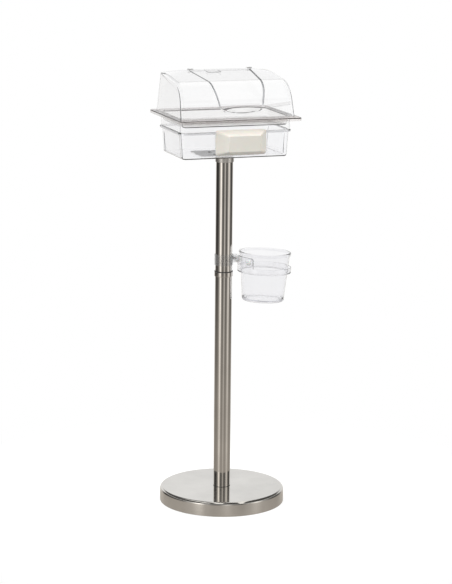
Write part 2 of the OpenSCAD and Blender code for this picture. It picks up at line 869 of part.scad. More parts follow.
module clamp_band() {
    z0 = clamp_z - clamp_h / 2;
    color("aliceblue", 0.4) at_arm() difference() {
        union() {
            translate([0, 0, z0]) cylinder(r = band_r, h = clamp_h);
            translate([0, -ear_y, clamp_z - ear_h / 2]) cube([ear_x, 2 * ear_y, ear_h]);
        }
        translate([0, 0, z0 - over]) cylinder(r = band_in_r, h = clamp_h + 2 * over);
        translate([0, -ear_gap / 2, z0 - over]) cube([ear_x + over, ear_gap, clamp_h + 2 * over]);
        across(screw_turn_r + fit, -ear_y - over, ear_y + over);
    }
}

module clamp_screw() {
    end_y = ear_y + clamp_screw_d;
    color("whitesmoke") at_arm() {
        across(screw_turn_r, -ear_y - seat - root, end_y);
        difference() {
            across(clamp_knob_d / 2, -ear_y - seat - knob_l, -ear_y - seat);
            for (i = [0 : grips - 1])
                translate([pivot_x, -ear_y, clamp_z]) rotate([0, i * 360 / grips, 0])
                    translate([clamp_knob_d / 2 + grip_out, 0, 0]) rotate([90, 0, 0])
                        cylinder(r = grip_r, h = knob_l + 2 * over);
        }
    }
}

module clamp_nut() {
    clamp_nut_h = clamp_screw_d * nut_thick;
    color("silver") at_arm() difference() {
        translate([pivot_x, ear_y + clamp_nut_h, clamp_z]) rotate([90, 0, 0])
            cylinder(d = clamp_screw_d * nut_flats * hex, h = clamp_nut_h, $fn = 6);
        across(screw_turn_r + fit, ear_y - over, ear_y + clamp_nut_h + over);
    }
}

// Part of a ring between two radii and heights, open by angle a to each side of the pole
module ring_sector(r0, r1, z0, z1, a) {
    far = 2 * r1;
    translate([cup_reach, 0, z0]) intersection() {
        difference() {
            cylinder(r = r1, h = z1 - z0);
            translate([0, 0, -over]) cylinder(r = r0, h = z1 - z0 + 2 * over);
        }
        translate([0, 0, -over]) linear_extrude(z1 - z0 + 2 * over)
            polygon([[0, 0], far * [-cos(a), sin(a)], [-far, 0], far * [-cos(a), -sin(a)]]);
    }
}

// Rods that point at the cup's axis at both ring screws
module at_ring_screws() {
    for (side = [-1, 1])
        translate([cup_reach, 0, saddle_z]) rotate([0, 0, side * saddle_a]) rotate([0, -90, 0]) children();
}

module holder_arm() {
    quarter = 89;
    low_z = saddle_top_z - saddle_h;
    foot_x = cup_reach - saddle_in_r - saddle_t / 2;
    color("aliceblue", 0.4) sagging() difference() {
        union() {
            ring_sector(saddle_in_r, saddle_r, low_z, saddle_top_z, saddle_a);
            intersection() {
                ring_sector(saddle_in_r, saddle_r, low_z, saddle_top_z, quarter);
                at_ring_screws() cylinder(d = saddle_h + saddle_trim, h = 2 * saddle_r);
            }
            across(arm_end_r, -arm_t / 2, arm_t / 2);
            along_y(-arm_t / 2, arm_t / 2) polygon([[pivot_x, clamp_z - arm_end_r],
                [foot_x, low_z + arm_step], [foot_x, saddle_top_z], [pivot_x, clamp_z + arm_end_r]]);
        }
        across(screw_turn_r + fit, -arm_t, arm_t);
        at_ring_screws() cylinder(r = ring_screw_r + fit, h = 2 * saddle_r);
    }
}

module cup_ring() {
    color("aliceblue", 0.4) sagging() difference() {
        union() {
            translate([cup_reach, 0, ring_z]) difference() {
                cylinder(r = ring_r, h = ring_h);
                translate([0, 0, ledge_h]) cylinder(r = ring_in_r, h = ring_h);
                translate([0, 0, -over])
                    cylinder(r = cup_r(ring_z + ledge_h) + seat, h = ring_h + 2 * over);
            }
            ring_sector(ring_in_r, ring_r, ring_z + ledge_h, saddle_top_z, saddle_a + ear_past_a);
        }
        at_ring_screws() cylinder(r = ring_screw_r + fit, h = 2 * saddle_r);
    }
}

module ring_screws() {
    tip_r = ring_in_r - ring_nut_h;
    color("whitesmoke") sagging() at_ring_screws() {
        translate([0, 0, tip_r]) cylinder(r = ring_screw_r, h = saddle_r - tip_r + root);
        translate([0, 0, saddle_r]) cylinder(d = ring_head_d, h = ring_head_h);
        translate([0, 0, saddle_r + ring_head_h])
            cylinder(r = ring_head_d / 2 - ring_head_h, h = ring_head_step);
    }
}

module ring_nuts() {
    nut_in_r = ring_in_r - ring_nut_h - ring_nut_gap;
    color("silver") sagging() at_ring_screws() translate([0, 0, nut_in_r]) difference() {
        cylinder(r = ring_nut_r, h = ring_nut_h, $fn = 6);
        translate([0, 0, -over]) cylinder(r = ring_screw_r + fit, h = ring_nut_h + 2 * over);
    }
}

module waste_cup() {
    lip_z = cup_top_z - cup_lip;
    lip_in_r = cup_rim_r - cup_lip_t;
    under_z = cup_top_z - cup_rim_t;
    neck_r = cup_r(under_z);
    stand_z = cup_z + cup_foot_h;
    stand_r = cup_foot_r - cup_foot_w;
    floor_z = stand_z + cup_floor;
    color("aliceblue", 0.4) sagging() translate([cup_reach, 0, 0]) rotate_extrude() polygon([
        [0, stand_z], [stand_r - cup_foot_slope, stand_z], [stand_r, cup_z], [cup_foot_r, cup_z],
        [neck_r, under_z], [lip_in_r, under_z], [lip_in_r, lip_z],
        [cup_rim_r, lip_z], [cup_rim_r, cup_top_z], [neck_r - cup_wall, cup_top_z],
        [cup_r(floor_z) - cup_wall, floor_z], [0, floor_z]]);
}

floor_pad();
base_weight();
base_cover();
base_bolt();
base_washer();
bottom_plug();
lower_pole();
joint_collar();
joint_spigot();
upper_pole();
top_plug();
top_socket();
plate_bolt();
mount_plate();
mount_screws();
mount_nuts();
storage_box();
riser_frame();
serving_tray();
dome_cover();
front_door();
hinge_pins();
sign_plaque();
sign_back();
sign_hooks();
clamp_liner();
clamp_band();
clamp_screw();
clamp_nut();
holder_arm();
cup_ring();
ring_screws();
ring_nuts();
waste_cup();
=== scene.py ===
"""Looks of a food sampling stand: brushed steel base and pole, clear mouldings and an ivory sign."""

import math

import bmesh
import bpy
import numpy as np
from mathutils import Matrix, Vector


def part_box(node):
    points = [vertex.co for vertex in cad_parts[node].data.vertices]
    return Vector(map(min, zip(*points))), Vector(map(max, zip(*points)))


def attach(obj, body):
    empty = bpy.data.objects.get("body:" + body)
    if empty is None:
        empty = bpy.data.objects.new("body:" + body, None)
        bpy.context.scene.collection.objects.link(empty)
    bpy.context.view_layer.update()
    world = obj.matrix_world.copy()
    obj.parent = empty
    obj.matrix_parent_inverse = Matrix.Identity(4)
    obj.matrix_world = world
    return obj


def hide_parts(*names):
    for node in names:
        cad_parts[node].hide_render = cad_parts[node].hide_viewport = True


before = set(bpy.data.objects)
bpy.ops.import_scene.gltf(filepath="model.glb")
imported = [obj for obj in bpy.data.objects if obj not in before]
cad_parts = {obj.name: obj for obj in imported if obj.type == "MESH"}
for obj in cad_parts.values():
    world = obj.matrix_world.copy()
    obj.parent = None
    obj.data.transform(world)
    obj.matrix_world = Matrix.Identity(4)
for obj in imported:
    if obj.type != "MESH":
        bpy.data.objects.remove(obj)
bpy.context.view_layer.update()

# Shapes are worked out in millimetres
MM = 0.001
# Points nearer than this are one
SAME_SPOT = 0.002
# A round turn takes a little less than half of a side
SIDE_SHARE = 0.49


def span(node):
    """Lowest and highest corner of a node of the construction, in millimetres."""
    low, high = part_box(node)
    return np.array(low) / MM, np.array(high) / MM


# Shapes


def unit(vectors):
    """Vectors brought to length one."""
    return vectors / np.linalg.norm(vectors, axis=-1, keepdims=True)


def soften(corners, radii, steps=5, closed=False):
    """Path through corners with round turns. With unit directions u and v to a corner's neighbours, the turn
    is the arc about corner + (u + v)/|u + v| · cut/cos(half), from corner + u·cut to corner + v·cut, where
    cut is radius/tan(half). A cut takes at most half of a side."""
    corners = np.asarray(corners, float)
    radii = np.broadcast_to(radii, len(corners))
    path = []
    for i, corner in enumerate(corners):
        before, after = corners[i - 1], corners[(i + 1) % len(corners)]
        at_end = not closed and i in (0, len(corners) - 1)
        if at_end or radii[i] == 0:
            path.append(corner[None])
            continue
        u, v = unit(before - corner), unit(after - corner)
        half = math.acos(np.clip(u @ v, -1, 1)) / 2
        room = SIDE_SHARE * min(np.linalg.norm(before - corner), np.linalg.norm(after - corner))
        cut = min(radii[i] / math.tan(half), room)
        middle = corner + unit(u + v) * cut / math.cos(half)
        start, end = corner + u * cut - middle, corner + v * cut - middle
        turn = math.pi - 2 * half
        t = np.linspace(0, 1, steps + 1)[:, None]
        path.append(middle + (start * np.sin((1 - t) * turn) + end * np.sin(t * turn)) / math.sin(turn))
    return np.concatenate(path)


def spaced(path, places):
    """Points of a path at the given distances along it, and the unit direction of the path there."""
    along = np.concatenate([[0], np.cumsum(np.linalg.norm(np.diff(path, axis=0), axis=1))])
    step = 0.5

    def at(reached):
        """Points of the path at distances."""
        return np.stack([np.interp(reached, along, column) for column in path.T], 1)

    return at(places), unit(at(np.minimum(places + step, along[-1])) - at(np.maximum(places - step, 0)))


def rounded_loop(length, width, radius, marks=(), corner=10):
    """Rounded rectangle, counter-clockwise: at each corner middle + radius·(cos a, sin a), then a side with
    points at the marks, which are distances from both its ends. Gives the points, their outward normals and
    how far along its side each point is from the nearer corner."""
    marks = np.asarray(marks, float)
    turn = np.linspace(0, math.pi / 2, corner + 1)
    points, normals, away = [], [], []
    for k, (sx, sy) in enumerate(((1, 1), (-1, 1), (-1, -1), (1, -1))):
        a = turn + k * math.pi / 2
        out = np.stack([np.cos(a), np.sin(a)], 1)
        arc = np.array([sx * (length / 2 - radius), sy * (width / 2 - radius)]) + radius * out
        side = (width if k % 2 else length) - 2 * radius
        s = np.concatenate([marks, side - marks[::-1]])
        ahead = np.array([-out[-1][1], out[-1][0]])
        points += [arc, arc[-1] + s[:, None] * ahead]
        normals += [out, np.repeat(out[-1][None], len(s), 0)]
        away += [np.zeros(len(a)), np.minimum(s, side - s)]
    return np.concatenate(points), np.concatenate(normals), np.concatenate(away)


def grid_faces(rows, columns, wrap_rows=False, wrap_columns=True):
    """Quads of a grid in which point (i, j) is number i·columns + j."""
    down = np.arange(rows if wrap_rows else rows - 1)
    across = np.arange(columns if wrap_columns else columns - 1)
    i, j = np.meshgrid(down, across, indexing="ij")
    i2, j2 = (i + 1) % rows, (j + 1) % columns
    quads = [i * columns + j, i * columns + j2, i2 * columns + j2, i2 * columns + j]
    return np.stack([q.ravel() for q in quads], 1)


def joined(loops, wrap=False, caps=True):
    """Points and faces of closed loops joined in order, point j of a loop to point j of the next. Unless the
    loops wrap round, the first and last can be closed by a flat face each."""
    loops = np.asarray(loops, float)
    rows, columns = loops.shape[:2]
    faces = grid_faces(rows, columns, wrap).tolist()
    if caps and not wrap:
        faces += [list(range(columns)), list(range((rows - 1) * columns, rows * columns))]
    return loops.reshape(-1, 3), faces


def oblong(low_x, high_x, low_y, high_y):
    """Corners of an upright rectangle, counter-clockwise from the lower left."""
    return [[low_x, low_y], [high_x, low_y], [high_x, high_y], [low_x, high_y]]


def turned(profile, closed=False, steps=144):
    """Profile of (radius, height) points turned about the Z axis: (r·cos a, r·sin a, h)."""
    profile = np.asarray(profile, float)
    a = np.linspace(0, 2 * math.pi, steps, endpoint=False)
    r, h = profile[:, :1], profile[:, 1:]
    loops = np.stack([r * np.cos(a), r * np.sin(a), h + 0 * a], 2)
    return joined(loops, wrap=closed, caps=False)


def ring(corners, radii, steps, around=144):
    """Closed section of (radius, height) points with round turns, turned about the Z axis."""
    return turned(soften(corners, radii, steps, closed=True), True, around)


def plate(outline, low, high, edge, axes):
    """Flat plate of a closed outline between two heights. Its edges are round: the outline is drawn in by
    edge·(1 - sin t) while the height moves by edge·(1 - cos t). axes says which axis of the object each of
    outline's two and the height go to."""
    outline = np.asarray(outline, float)
    ahead = unit(np.roll(outline, -1, 0) - np.roll(outline, 1, 0))
    out = np.stack([ahead[:, 1], -ahead[:, 0]], 1)
    x, y = outline.T
    if (x * np.roll(y, -1) - y * np.roll(x, -1)).sum() < 0:
        out = -out
    t = np.linspace(0, math.pi / 2, 4)
    inset = edge * (1 - np.sin(t))
    rise = edge * (1 - np.cos(t))
    insets = np.concatenate([inset, inset[::-1]])
    heights = np.concatenate([low + rise, high - rise[::-1]])
    loops = np.empty((len(insets), len(outline), 3))
    loops[..., axes[0]] = x - insets[:, None] * out[:, 0]
    loops[..., axes[1]] = y - insets[:, None] * out[:, 1]
    loops[..., axes[2]] = heights[:, None]
    return joined(loops)


def aimed(shape, origin, direction):
    """Shape drawn about the Z axis, moved so that its axis starts at origin and points along direction."""
    points, faces = shape
    z = unit(np.asarray(direction, float))
    steep = abs(z[2]) > 0.9
    x = unit(np.cross([0, 1, 0] if steep else [0, 0, 1], z))
    return points @ np.stack([x, np.cross(z, x), z]) + origin, faces


def together(*shapes):
    """Several shapes as one list of points and one of faces."""
    points, faces, count = [], [], 0
    for shape_points, shape_faces in shapes:
        points.append(shape_points)
        faces += [[n + count for n in face] for face in shape_faces]
        count += len(shape_points)
    return np.concatenate(points), faces


def piece(name, shape, finish, body, stands_for=(), sharp=38, out_from=None):
    """Object of a shape in millimetres, with its finish, its body and the nodes it stands
    for. Closed shapes turn their faces outwards, and open ones away from the point out_from."""
    points, faces = shape
    mesh = bpy.data.meshes.new(name)
    mesh.from_pydata((points * MM).tolist(), [], [list(f) for f in faces])
    work = bmesh.new()
    work.from_mesh(mesh)
    bmesh.ops.remove_doubles(work, verts=work.verts, dist=SAME_SPOT * MM)
    bmesh.ops.recalc_face_normals(work, faces=work.faces)
    if out_from is not None:
        middle = np.array(out_from) * MM
        lean = sum(f.calc_area() * (np.array(f.normal) @ (np.array(f.calc_center_median()) - middle))
                   for f in work.faces)
        if lean < 0:
            bmesh.ops.reverse_faces(work, faces=work.faces)
    work.to_mesh(mesh)
    work.free()
    mesh.polygons.foreach_set("use_smooth", np.ones(len(mesh.polygons), bool))
    mesh.set_sharp_from_angle(angle=math.radians(sharp))
    mesh.materials.append(finish)
    obj = bpy.data.objects.new(name, mesh)
    bpy.context.scene.collection.objects.link(obj)
    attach(obj, body)
    if stands_for:
        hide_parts(*stands_for)
    return evened(obj)


def evened(obj):
    """Lets large faces keep their own direction beside small round edges."""
    normals = obj.modifiers.new("normals", "WEIGHTED_NORMAL")
    normals.keep_sharp = True
    return obj


def walled(obj, thickness, edge):
    """Gives an open skin a wall on its inner side and rounds the wall's edges."""
    obj.modifiers.clear()
    wall = obj.modifiers.new("wall", "SOLIDIFY")
    wall.thickness = thickness * MM
    wall.offset = -1
    edges = obj.modifiers.new("edges", "BEVEL")
    edges.width = edge * MM
    edges.segments = 2
    edges.limit_method = "ANGLE"
    edges.angle_limit = math.radians(50)
    return evened(obj)


# Finishes


def node(tree, kind, inputs=None, **settings):
    """New node of a tree with its settings, its inputs set to values or linked to other nodes' outputs."""
    made = tree.nodes.new("ShaderNode" + kind)
    for key, value in settings.items():
        setattr(made, key, value)
    for key, value in (inputs or {}).items():
        if isinstance(value, bpy.types.NodeSocket):
            tree.links.new(value, made.inputs[key])
        else:
            made.inputs[key].default_value = value
    return made


def new_finish(name, colour, **sockets):
    """Material with one Principled shader: its tree, the shader and the material itself."""
    finish = bpy.data.materials.new(name)
    finish.use_nodes = True
    shader = finish.node_tree.nodes["Principled BSDF"]
    shader.inputs["Base Color"].default_value = (*colour, 1)
    for key, value in sockets.items():
        shader.inputs[key.replace("_", " ")].default_value = value
    return finish.node_tree, shader, finish


def spot(tree, scale=(1, 1, 1)):
    """Place on the object in metres, stretched by scale."""
    at = node(tree, "TexCoord").outputs["Object"]
    return node(tree, "Mapping", {"Vector": at, "Scale": scale}).outputs["Vector"]


def noise(tree, vector, scale, detail=3.0, roughness=0.5):
    """Noise from 0 to 1 at a place."""
    inputs = {"Vector": vector, "Scale": scale, "Detail": detail, "Roughness": roughness}
    return node(tree, "TexNoise", inputs).outputs[0]


def ranged(tree, value, low, high, from_low=0.3, from_high=0.7):
    """Value carried from one range to another and held inside it. The first range, unless given, is the one
    that a noise mostly fills."""
    return node(tree, "MapRange", {0: value, 1: from_low, 2: from_high, 3: low, 4: high}).outputs[0]


def blended(tree, share, first, second):
    """Colour between two colours or outputs."""
    pick = [c if isinstance(c, bpy.types.NodeSocket) else (*c, 1) for c in (first, second)]
    return node(tree, "Mix", {0: share, 6: pick[0], 7: pick[1]}, data_type="RGBA").outputs[2]


def mixed(tree, share, first, second):
    """Shader between two shaders."""
    return node(tree, "MixShader", {0: share, 1: first, 2: second}).outputs[0]


def maths(tree, operation, first, second=0.0):
    """Result of an operation on one value or two."""
    return node(tree, "Math", {0: first, 1: second}, operation=operation).outputs[0]


def measured(tree, operation, vector, direction=(0, 0, 0)):
    """Length of a vector, or its dot product with a direction."""
    return node(tree, "VectorMath", {0: vector, 1: direction}, operation=operation).outputs["Value"]


def axes_of(tree, vector):
    """The three parts of a vector."""
    return node(tree, "SeparateXYZ", {0: vector}).outputs


def add_bump(tree, shader, height, strength, distance):
    """Bump of a height given as 0 to 1, distance deep in metres."""
    bump = node(tree, "Bump", {"Height": height, "Strength": strength, "Distance": distance})
    tree.links.new(bump.outputs[0], shader.inputs["Normal"])


def round_place(across, along, around):
    """Place on a turned surface as (radius·across, height·along, angle·around), for marks that a lathe
    leaves. Like straight_place, it gives a function of the tree."""
    def place(tree):
        """The place's nodes."""
        x, y, z = axes_of(tree, node(tree, "TexCoord").outputs["Object"])
        radius = measured(tree, "LENGTH", node(tree, "CombineXYZ", {0: x, 1: y}).outputs[0])
        packed = node(tree, "CombineXYZ", {0: radius, 1: z, 2: maths(tree, "ARCTAN2", y, x)}).outputs[0]
        return node(tree, "Mapping", {"Vector": packed, "Scale": (across, along, around)}).outputs["Vector"]
    return place


def straight_place(*scale):
    """Place on the object in metres, stretched by scale."""
    return lambda tree: spot(tree, scale)


def steel(name, colour, roughness, place, depth, smooth_above=None):
    """Steel with fine marks at a place, and a roughness that wanders a little along them. Above a height it
    can be smoother, by the share and from the height given as smooth_above."""
    tree, shader, finish = new_finish(name, colour, Metallic=1.0)
    lines = noise(tree, place(tree), 1.0, 4.0, 0.6)
    cloud = noise(tree, spot(tree), 9.0, 3.0, 0.55)
    rough = maths(tree, "ADD", ranged(tree, lines, *roughness), ranged(tree, cloud, -0.02, 0.03))
    if smooth_above:
        share, height = smooth_above
        up = axes_of(tree, spot(tree))[2]
        rough = maths(tree, "MULTIPLY", rough, ranged(tree, up, 1, share, height - 0.003, height))
    tree.links.new(rough, shader.inputs["Roughness"])
    patches = ranged(tree, cloud, 0, 1, 0.35, 0.65)
    duller = [c * 0.9 for c in colour]
    tree.links.new(blended(tree, patches, colour, duller), shader.inputs["Base Color"])
    add_bump(tree, shader, lines, 0.35, depth)
    return finish


def clear(name, tint, roughness, density, wave=0.12, index=1.5, skin=None):
    """Clear moulding: glass-like, darker through its thickness, with the slow waves of a moulded wall. Its
    skin has the tint too, or a colour of its own. Light from lamps passes it, a little dimmed."""
    tree, shader, finish = new_finish(name, skin or tint, Transmission_Weight=1.0, IOR=index)
    vector = spot(tree)
    haze = noise(tree, vector, 60.0, 3.0, 0.6)
    tree.links.new(ranged(tree, haze, *roughness), shader.inputs["Roughness"])
    add_bump(tree, shader, noise(tree, vector, 14.0, 2.0, 0.4), wave, 0.0008)
    shadow_ray = node(tree, "LightPath").outputs["Is Shadow Ray"]
    dimmed = node(tree, "BsdfTransparent", {0: (0.94, 0.94, 0.94, 1)}).outputs[0]
    out = tree.nodes["Material Output"]
    tree.links.new(mixed(tree, shadow_ray, shader.outputs[0], dimmed), out.inputs["Surface"])
    body = node(tree, "VolumeAbsorption", {"Color": (*tint, 1), "Density": density}).outputs[0]
    tree.links.new(body, out.inputs["Volume"])
    return finish


def moulded(name, colour, shade, roughness, grain, depth, subsurface=0.0):
    """Opaque plastic, rubber or iron: a fine grain, a slow change of colour and a soft gloss."""
    tree, shader, finish = new_finish(name, colour, Subsurface_Weight=subsurface, Subsurface_Scale=0.004)
    vector = spot(tree)
    cloud = noise(tree, vector, 22.0)
    fine = noise(tree, vector, grain, 2.0, 0.6)
    tree.links.new(blended(tree, ranged(tree, cloud, 0, 1), colour, shade), shader.inputs["Base Color"])
    tree.links.new(ranged(tree, fine, *roughness), shader.inputs["Roughness"])
    add_bump(tree, shader, fine, 0.3, depth)
    return finish


def film(name, colour, facing, grazing):
    """Clear part too thin to bend the light behind it: a film that covers more towards its outline."""
    tree, shader, finish = new_finish(name, colour, IOR=1.45)
    cloud = noise(tree, spot(tree), 80.0, 3.0, 0.5)
    tree.links.new(ranged(tree, cloud, 0.04, 0.10), shader.inputs["Roughness"])
    slant = node(tree, "LayerWeight", {"Blend": 0.5}).outputs["Facing"]
    tree.links.new(ranged(tree, slant, facing, grazing, 0.1, 1.0), shader.inputs["Alpha"])
    add_bump(tree, shader, cloud, 0.1, 0.0004)
    return finish


def flange_tint_and_painted_shade(finish, well, tint_and_shade, top, on_side):
    """Darkens the light that passes outside a rectangle, whose half sides are given in metres, fully at the
    height top and by the share on_side below it. The three colours are those in front of it, at its ends and
    behind it: a smoky tint, and painted shade where they differ, as on the tray, whose ends are painted far
    darker than its front and back."""
    tree = finish.node_tree
    front, ends, rear = tint_and_shade
    x, y, z = axes_of(tree, spot(tree))
    past_end, past_side = [maths(tree, "SUBTRACT", maths(tree, "ABSOLUTE", way), half)
                           for way, half in zip((x, y), well)]
    outside = ranged(tree, maths(tree, "MAXIMUM", past_end, past_side), 0, 1, -0.001, 0.001)
    at_end = ranged(tree, maths(tree, "SUBTRACT", past_end, past_side), 0, 1, -0.003, 0.003)
    # Painted shade: the front, the ends and the back each get a colour of their own
    dark = blended(tree, ranged(tree, y, 0, 1, -0.01, 0.01), front, rear)
    dark = blended(tree, at_end, dark, ends)
    share = maths(tree, "MULTIPLY", outside, ranged(tree, z, on_side, 1, top - 0.003, top - 0.001))
    socket = tree.nodes["Principled BSDF"].inputs["Base Color"]
    tree.links.new(blended(tree, share, tuple(socket.default_value)[:3], dark), socket)


def grey(level):
    """Colour without a tint."""
    return (level, level, level)


STEEL = (0.66, 0.645, 0.615)
WARM_STEEL = (0.60, 0.575, 0.54)
CLEAR_TINT = (0.960, 0.963, 0.968)

# Steel: colour, least and most roughness, the marks that its making left and their depth
base_finish = steel("spun_steel", STEEL, (0.09, 0.12), round_place(2600, 2600, 2.0), 0.00002,
                    smooth_above=(0.78, 0.038))
pole_finish = steel("polished_tube", WARM_STEEL, (0.05, 0.10), round_place(30, 3, 160), 0.00001)
collar_finish = steel("turned_steel", STEEL, (0.14, 0.22), round_place(3000, 3000, 1.5), 0.00002)
socket_finish = steel("satin_ferrule", (0.72, 0.71, 0.69), (0.30, 0.40), round_place(3000, 3000, 1.5),
                      0.00003)
plate_finish = steel("sheet_steel", (0.62, 0.61, 0.59), (0.25, 0.38), straight_place(40, 1800, 1800),
                     0.00003)
zinc_finish = steel("zinc_fastener", (0.70, 0.71, 0.72), (0.20, 0.34), straight_place(500, 500, 500),
                    0.00003)
pin_finish = steel("hinge_steel", grey(0.80), (0.22, 0.34), straight_place(900, 900, 900), 0.00002)
# Opaque: colour and shade, roughness, the grain's scale and depth, and how far light enters
iron_finish = moulded("cast_iron", (0.16, 0.16, 0.165), (0.11, 0.11, 0.115), (0.6, 0.8), 500, 0.0002)
rubber_finish = moulded("pad_rubber", (0.03, 0.03, 0.032), grey(0.05), (0.65, 0.85), 1400, 0.00006)
ivory_finish = moulded("ivory_moulding", (0.765, 0.742, 0.68), (0.745, 0.72, 0.655), (0.32, 0.42), 1600,
                       0.00002, 0.12)
nut_finish = moulded("pale_nut", grey(0.84), grey(0.80), (0.3, 0.4), 1200, 0.00003, 0.2)
head_finish = moulded("white_moulding", grey(0.80), grey(0.76), (0.3, 0.4), 1200, 0.00003, 0.2)
# Clear: tint through the wall, roughness and density
cover_finish = clear("cover_clear", CLEAR_TINT, (0.0, 0.02), 80.0, index=1.42, skin=grey(1))
riser_finish = clear("riser_clear", CLEAR_TINT, (0.0, 0.02), 60.0, index=1.42, skin=grey(1))
box_finish = clear("box_clear", (0.950, 0.953, 0.960), (0.0, 0.03), 90.0, skin=(0.99, 0.99, 0.995))
edge_finish = clear("thick_edge", (0.60, 0.61, 0.63), (0.05, 0.10), 60.0, index=1.42)
holder_finish = clear("holder_clear", (0.955, 0.955, 0.962), (0.01, 0.04), 70.0, wave=0.2, index=1.42,
                      skin=(0.985, 0.985, 0.99))
tray_finish = clear("smoky_tray_painted_shade", (0.93, 0.925, 0.92), (0.06, 0.12), 60.0, wave=0.2, index=1.35,
                    skin=(0.965, 0.96, 0.955))
cup_finish = clear("cup_clear", (0.945, 0.945, 0.955), (0.03, 0.07), 60.0, wave=0.3, index=1.27,
                   skin=(0.948, 0.948, 0.955))
# Painted shade on the tray's flange, beyond its smoky tint: front, ends and back get different colours, the
# ends darkest. The box's rim gets one even grey tint.
TRAY_SMOKE_AND_PAINTED_SHADE = ((0.70, 0.60, 0.565), (0.19, 0.17, 0.165), (0.42, 0.36, 0.365))
flange_tint_and_painted_shade(tray_finish, (0.1565, 0.0995), TRAY_SMOKE_AND_PAINTED_SHADE, 1.121, 0.2)
flange_tint_and_painted_shade(box_finish, (0.1585, 0.101), 3 * [(0.80, 0.80, 0.81)], 1.083, 1.0)
# Films: colour, and the share that they cover face on and edge on
band_finish = film("band_clear", grey(0.42), 0.05, 0.30)
hinge_finish = film("hinge_clear", (0.60, 0.60, 0.61), 0.08, 0.40)
ear_finish = film("ear_clear", (0.72, 0.72, 0.73), 0.10, 0.30)
grip_finish = film("knob_clear", (0.80, 0.80, 0.81), 0.22, 0.55)
liner_finish = film("vinyl_liner", grey(0.40), 0.04, 0.20)


# Base and pole


def base_pieces():
    """Spun cover with a rolled edge, and the rubber pad that it stands over."""
    low, high = span("base_cover")
    radius, foot, top = high[0], low[2], high[2]
    sheet, edge, bore = 1.5, 8.0, 6.4
    inner, under = radius - sheet, top - sheet
    section = [[radius, foot], [radius, top], [bore, top], [bore, under], [inner, under], [inner, foot]]
    shape = ring(section, [0.5, edge, 0, 0, edge - sheet, 0.5], 9, around=256)
    piece("base_cover_spun", shape, base_finish, "stand", ["base_cover"])
    low, high = span("floor_pad")
    pad = turned(soften(oblong(0, high[0], low[2], high[2]), 0.6))
    piece("floor_pad_ribbed", pad, rubber_finish, "stand", ["floor_pad"])


def tube(name, node_name, wall, finish, ends=0.5):
    """Tube of a wall between the heights of its node, with its edges broken."""
    low, high = span(node_name)
    shape = ring(oblong(high[0] - wall, high[0], low[2], high[2]), ends, 3)
    piece(name, shape, finish, "stand", [node_name])


def collar():
    """Smooth ring over the joint, and thin black rings above it and at the foot of the pole: painted shadow
    lines of the joints.
    """
    low, high = span("joint_collar")
    r, z0, z1, bore, line = high[0], low[2], high[2], 24.05, 2.0
    shape = ring(oblong(bore, r, z0, z1 - line), [0.2, 1.2, 0.8, 0.2], 4)
    piece("joint_collar_turned", shape, pole_finish, "stand", ["joint_collar"])
    # A thin black ring paints the shadow in the joint above the collar
    shape = ring(oblong(bore, r - 0.3, z1 - line, z1), 0.2, 2)
    piece("joint_shadow_line", shape, rubber_finish, "stand")
    # A thin black ring paints the shadow in the joint at the pole's foot
    foot, seam = span("lower_pole")[0][2], 0.8
    shape = turned(oblong(bore - 0.1, bore + 0.3, foot, foot + seam), closed=True)
    piece("foot_shadow_line", shape, rubber_finish, "stand")


base_pieces()
tube("lower_pole_tube", "lower_pole", 1.5, pole_finish)
tube("upper_pole_tube", "upper_pole", 1.5, pole_finish)
tube("top_ferrule", "top_socket", 1.95, socket_finish, 0.7)
collar()


# Storage box, riser and tray

# Where the long sides have points, from each corner: they crowd where the posts end
LOOP_MARKS = np.array([4, 9, 12, 14, 16, 18, 24, 40])
LEAST_RADIUS = 0.2


def rounded_rows(stations, panel=None):
    """Loops of rounded rectangles for stations of (half length, half width, corner radius, height). panel
    gives how far a point is drawn in, from its distance to the corner and its height."""
    loops = []
    for half_length, half_width, radius, height in stations:
        radius = max(radius, LEAST_RADIUS)
        points, out, away = rounded_loop(2 * half_length, 2 * half_width, radius, LOOP_MARKS)
        if panel is not None:
            points = points - out * panel(away, height)[:, None]
        loops.append(np.column_stack([points, np.full(len(points), height)]))
    return loops


def storage_box():
    """Box with a round floor edge, corner posts that stand out between drawn-in panels, and a turned down
    rim. Its floor has the hole over the pole's bolt."""
    low, high = span("storage_box")
    z0, height = low[2], high[2] - low[2]
    length, width, radius, flare = 152.5, 95.0, 12.0, 5.0
    wall, rim, lip, rim_wall = 3.0, 6.0, 6.0, 2.0
    under, inner, outer, inset = height - 2.5, flare + rim - rim_wall, flare + rim, 8
    places = [(-inset, 0), (0, 0), (flare - 0.15, under), (inner, under), (inner, height - lip),
              (outer, height - lip), (outer, height), (flare - wall, height), (-wall, wall), (-inset, wall)]
    corners = [[length + out, width + out, radius + out, z0 + up] for out, up in places]
    stations = soften(corners, [0, 7, 1.2, 0.8, 0.7, 0.7, 1.6, 1.4, 5, 0], 5)
    depth, post, fade, foot, head = 1.3, 12.5, 3.0, 5, 62

    def panel(away, up):
        """How far the wall lies in: by the depth beyond the posts, with a smooth step, faded out at floor
        and rim."""
        side = np.clip((away - post) / fade, 0, 1)
        tall = np.clip((up - z0 - foot) / foot, 0, 1) * np.clip((z0 + head - up) / fade, 0, 1)
        return depth * side * side * (3 - 2 * side) * tall

    loops = rounded_rows(denser(stations, 5.0), panel)
    ways = unit(loops[0][:, :2])
    hole, middle = 9.0, 60.0
    level = lambda reach, up: np.column_stack([ways * reach, np.full(len(ways), z0 + up)])
    loops = [level(hole, 0), level(middle, 0), *loops, level(middle, wall), level(hole, wall)]
    shape = joined(loops, wrap=True)
    piece("storage_box_moulded", shape, box_finish, "stand", ["storage_box"])


def denser(stations, longest):
    """Stations with more set in evenly wherever two are further apart than longest."""
    stations = np.asarray(stations, float)
    rows = [stations[:1]]
    for a, b in zip(stations[:-1], stations[1:]):
        parts = max(1, math.ceil(np.linalg.norm(b - a) / longest))
        t = np.arange(1, parts + 1)[:, None] / parts
        rows.append(a + (b - a) * t)
    return np.concatenate(rows)


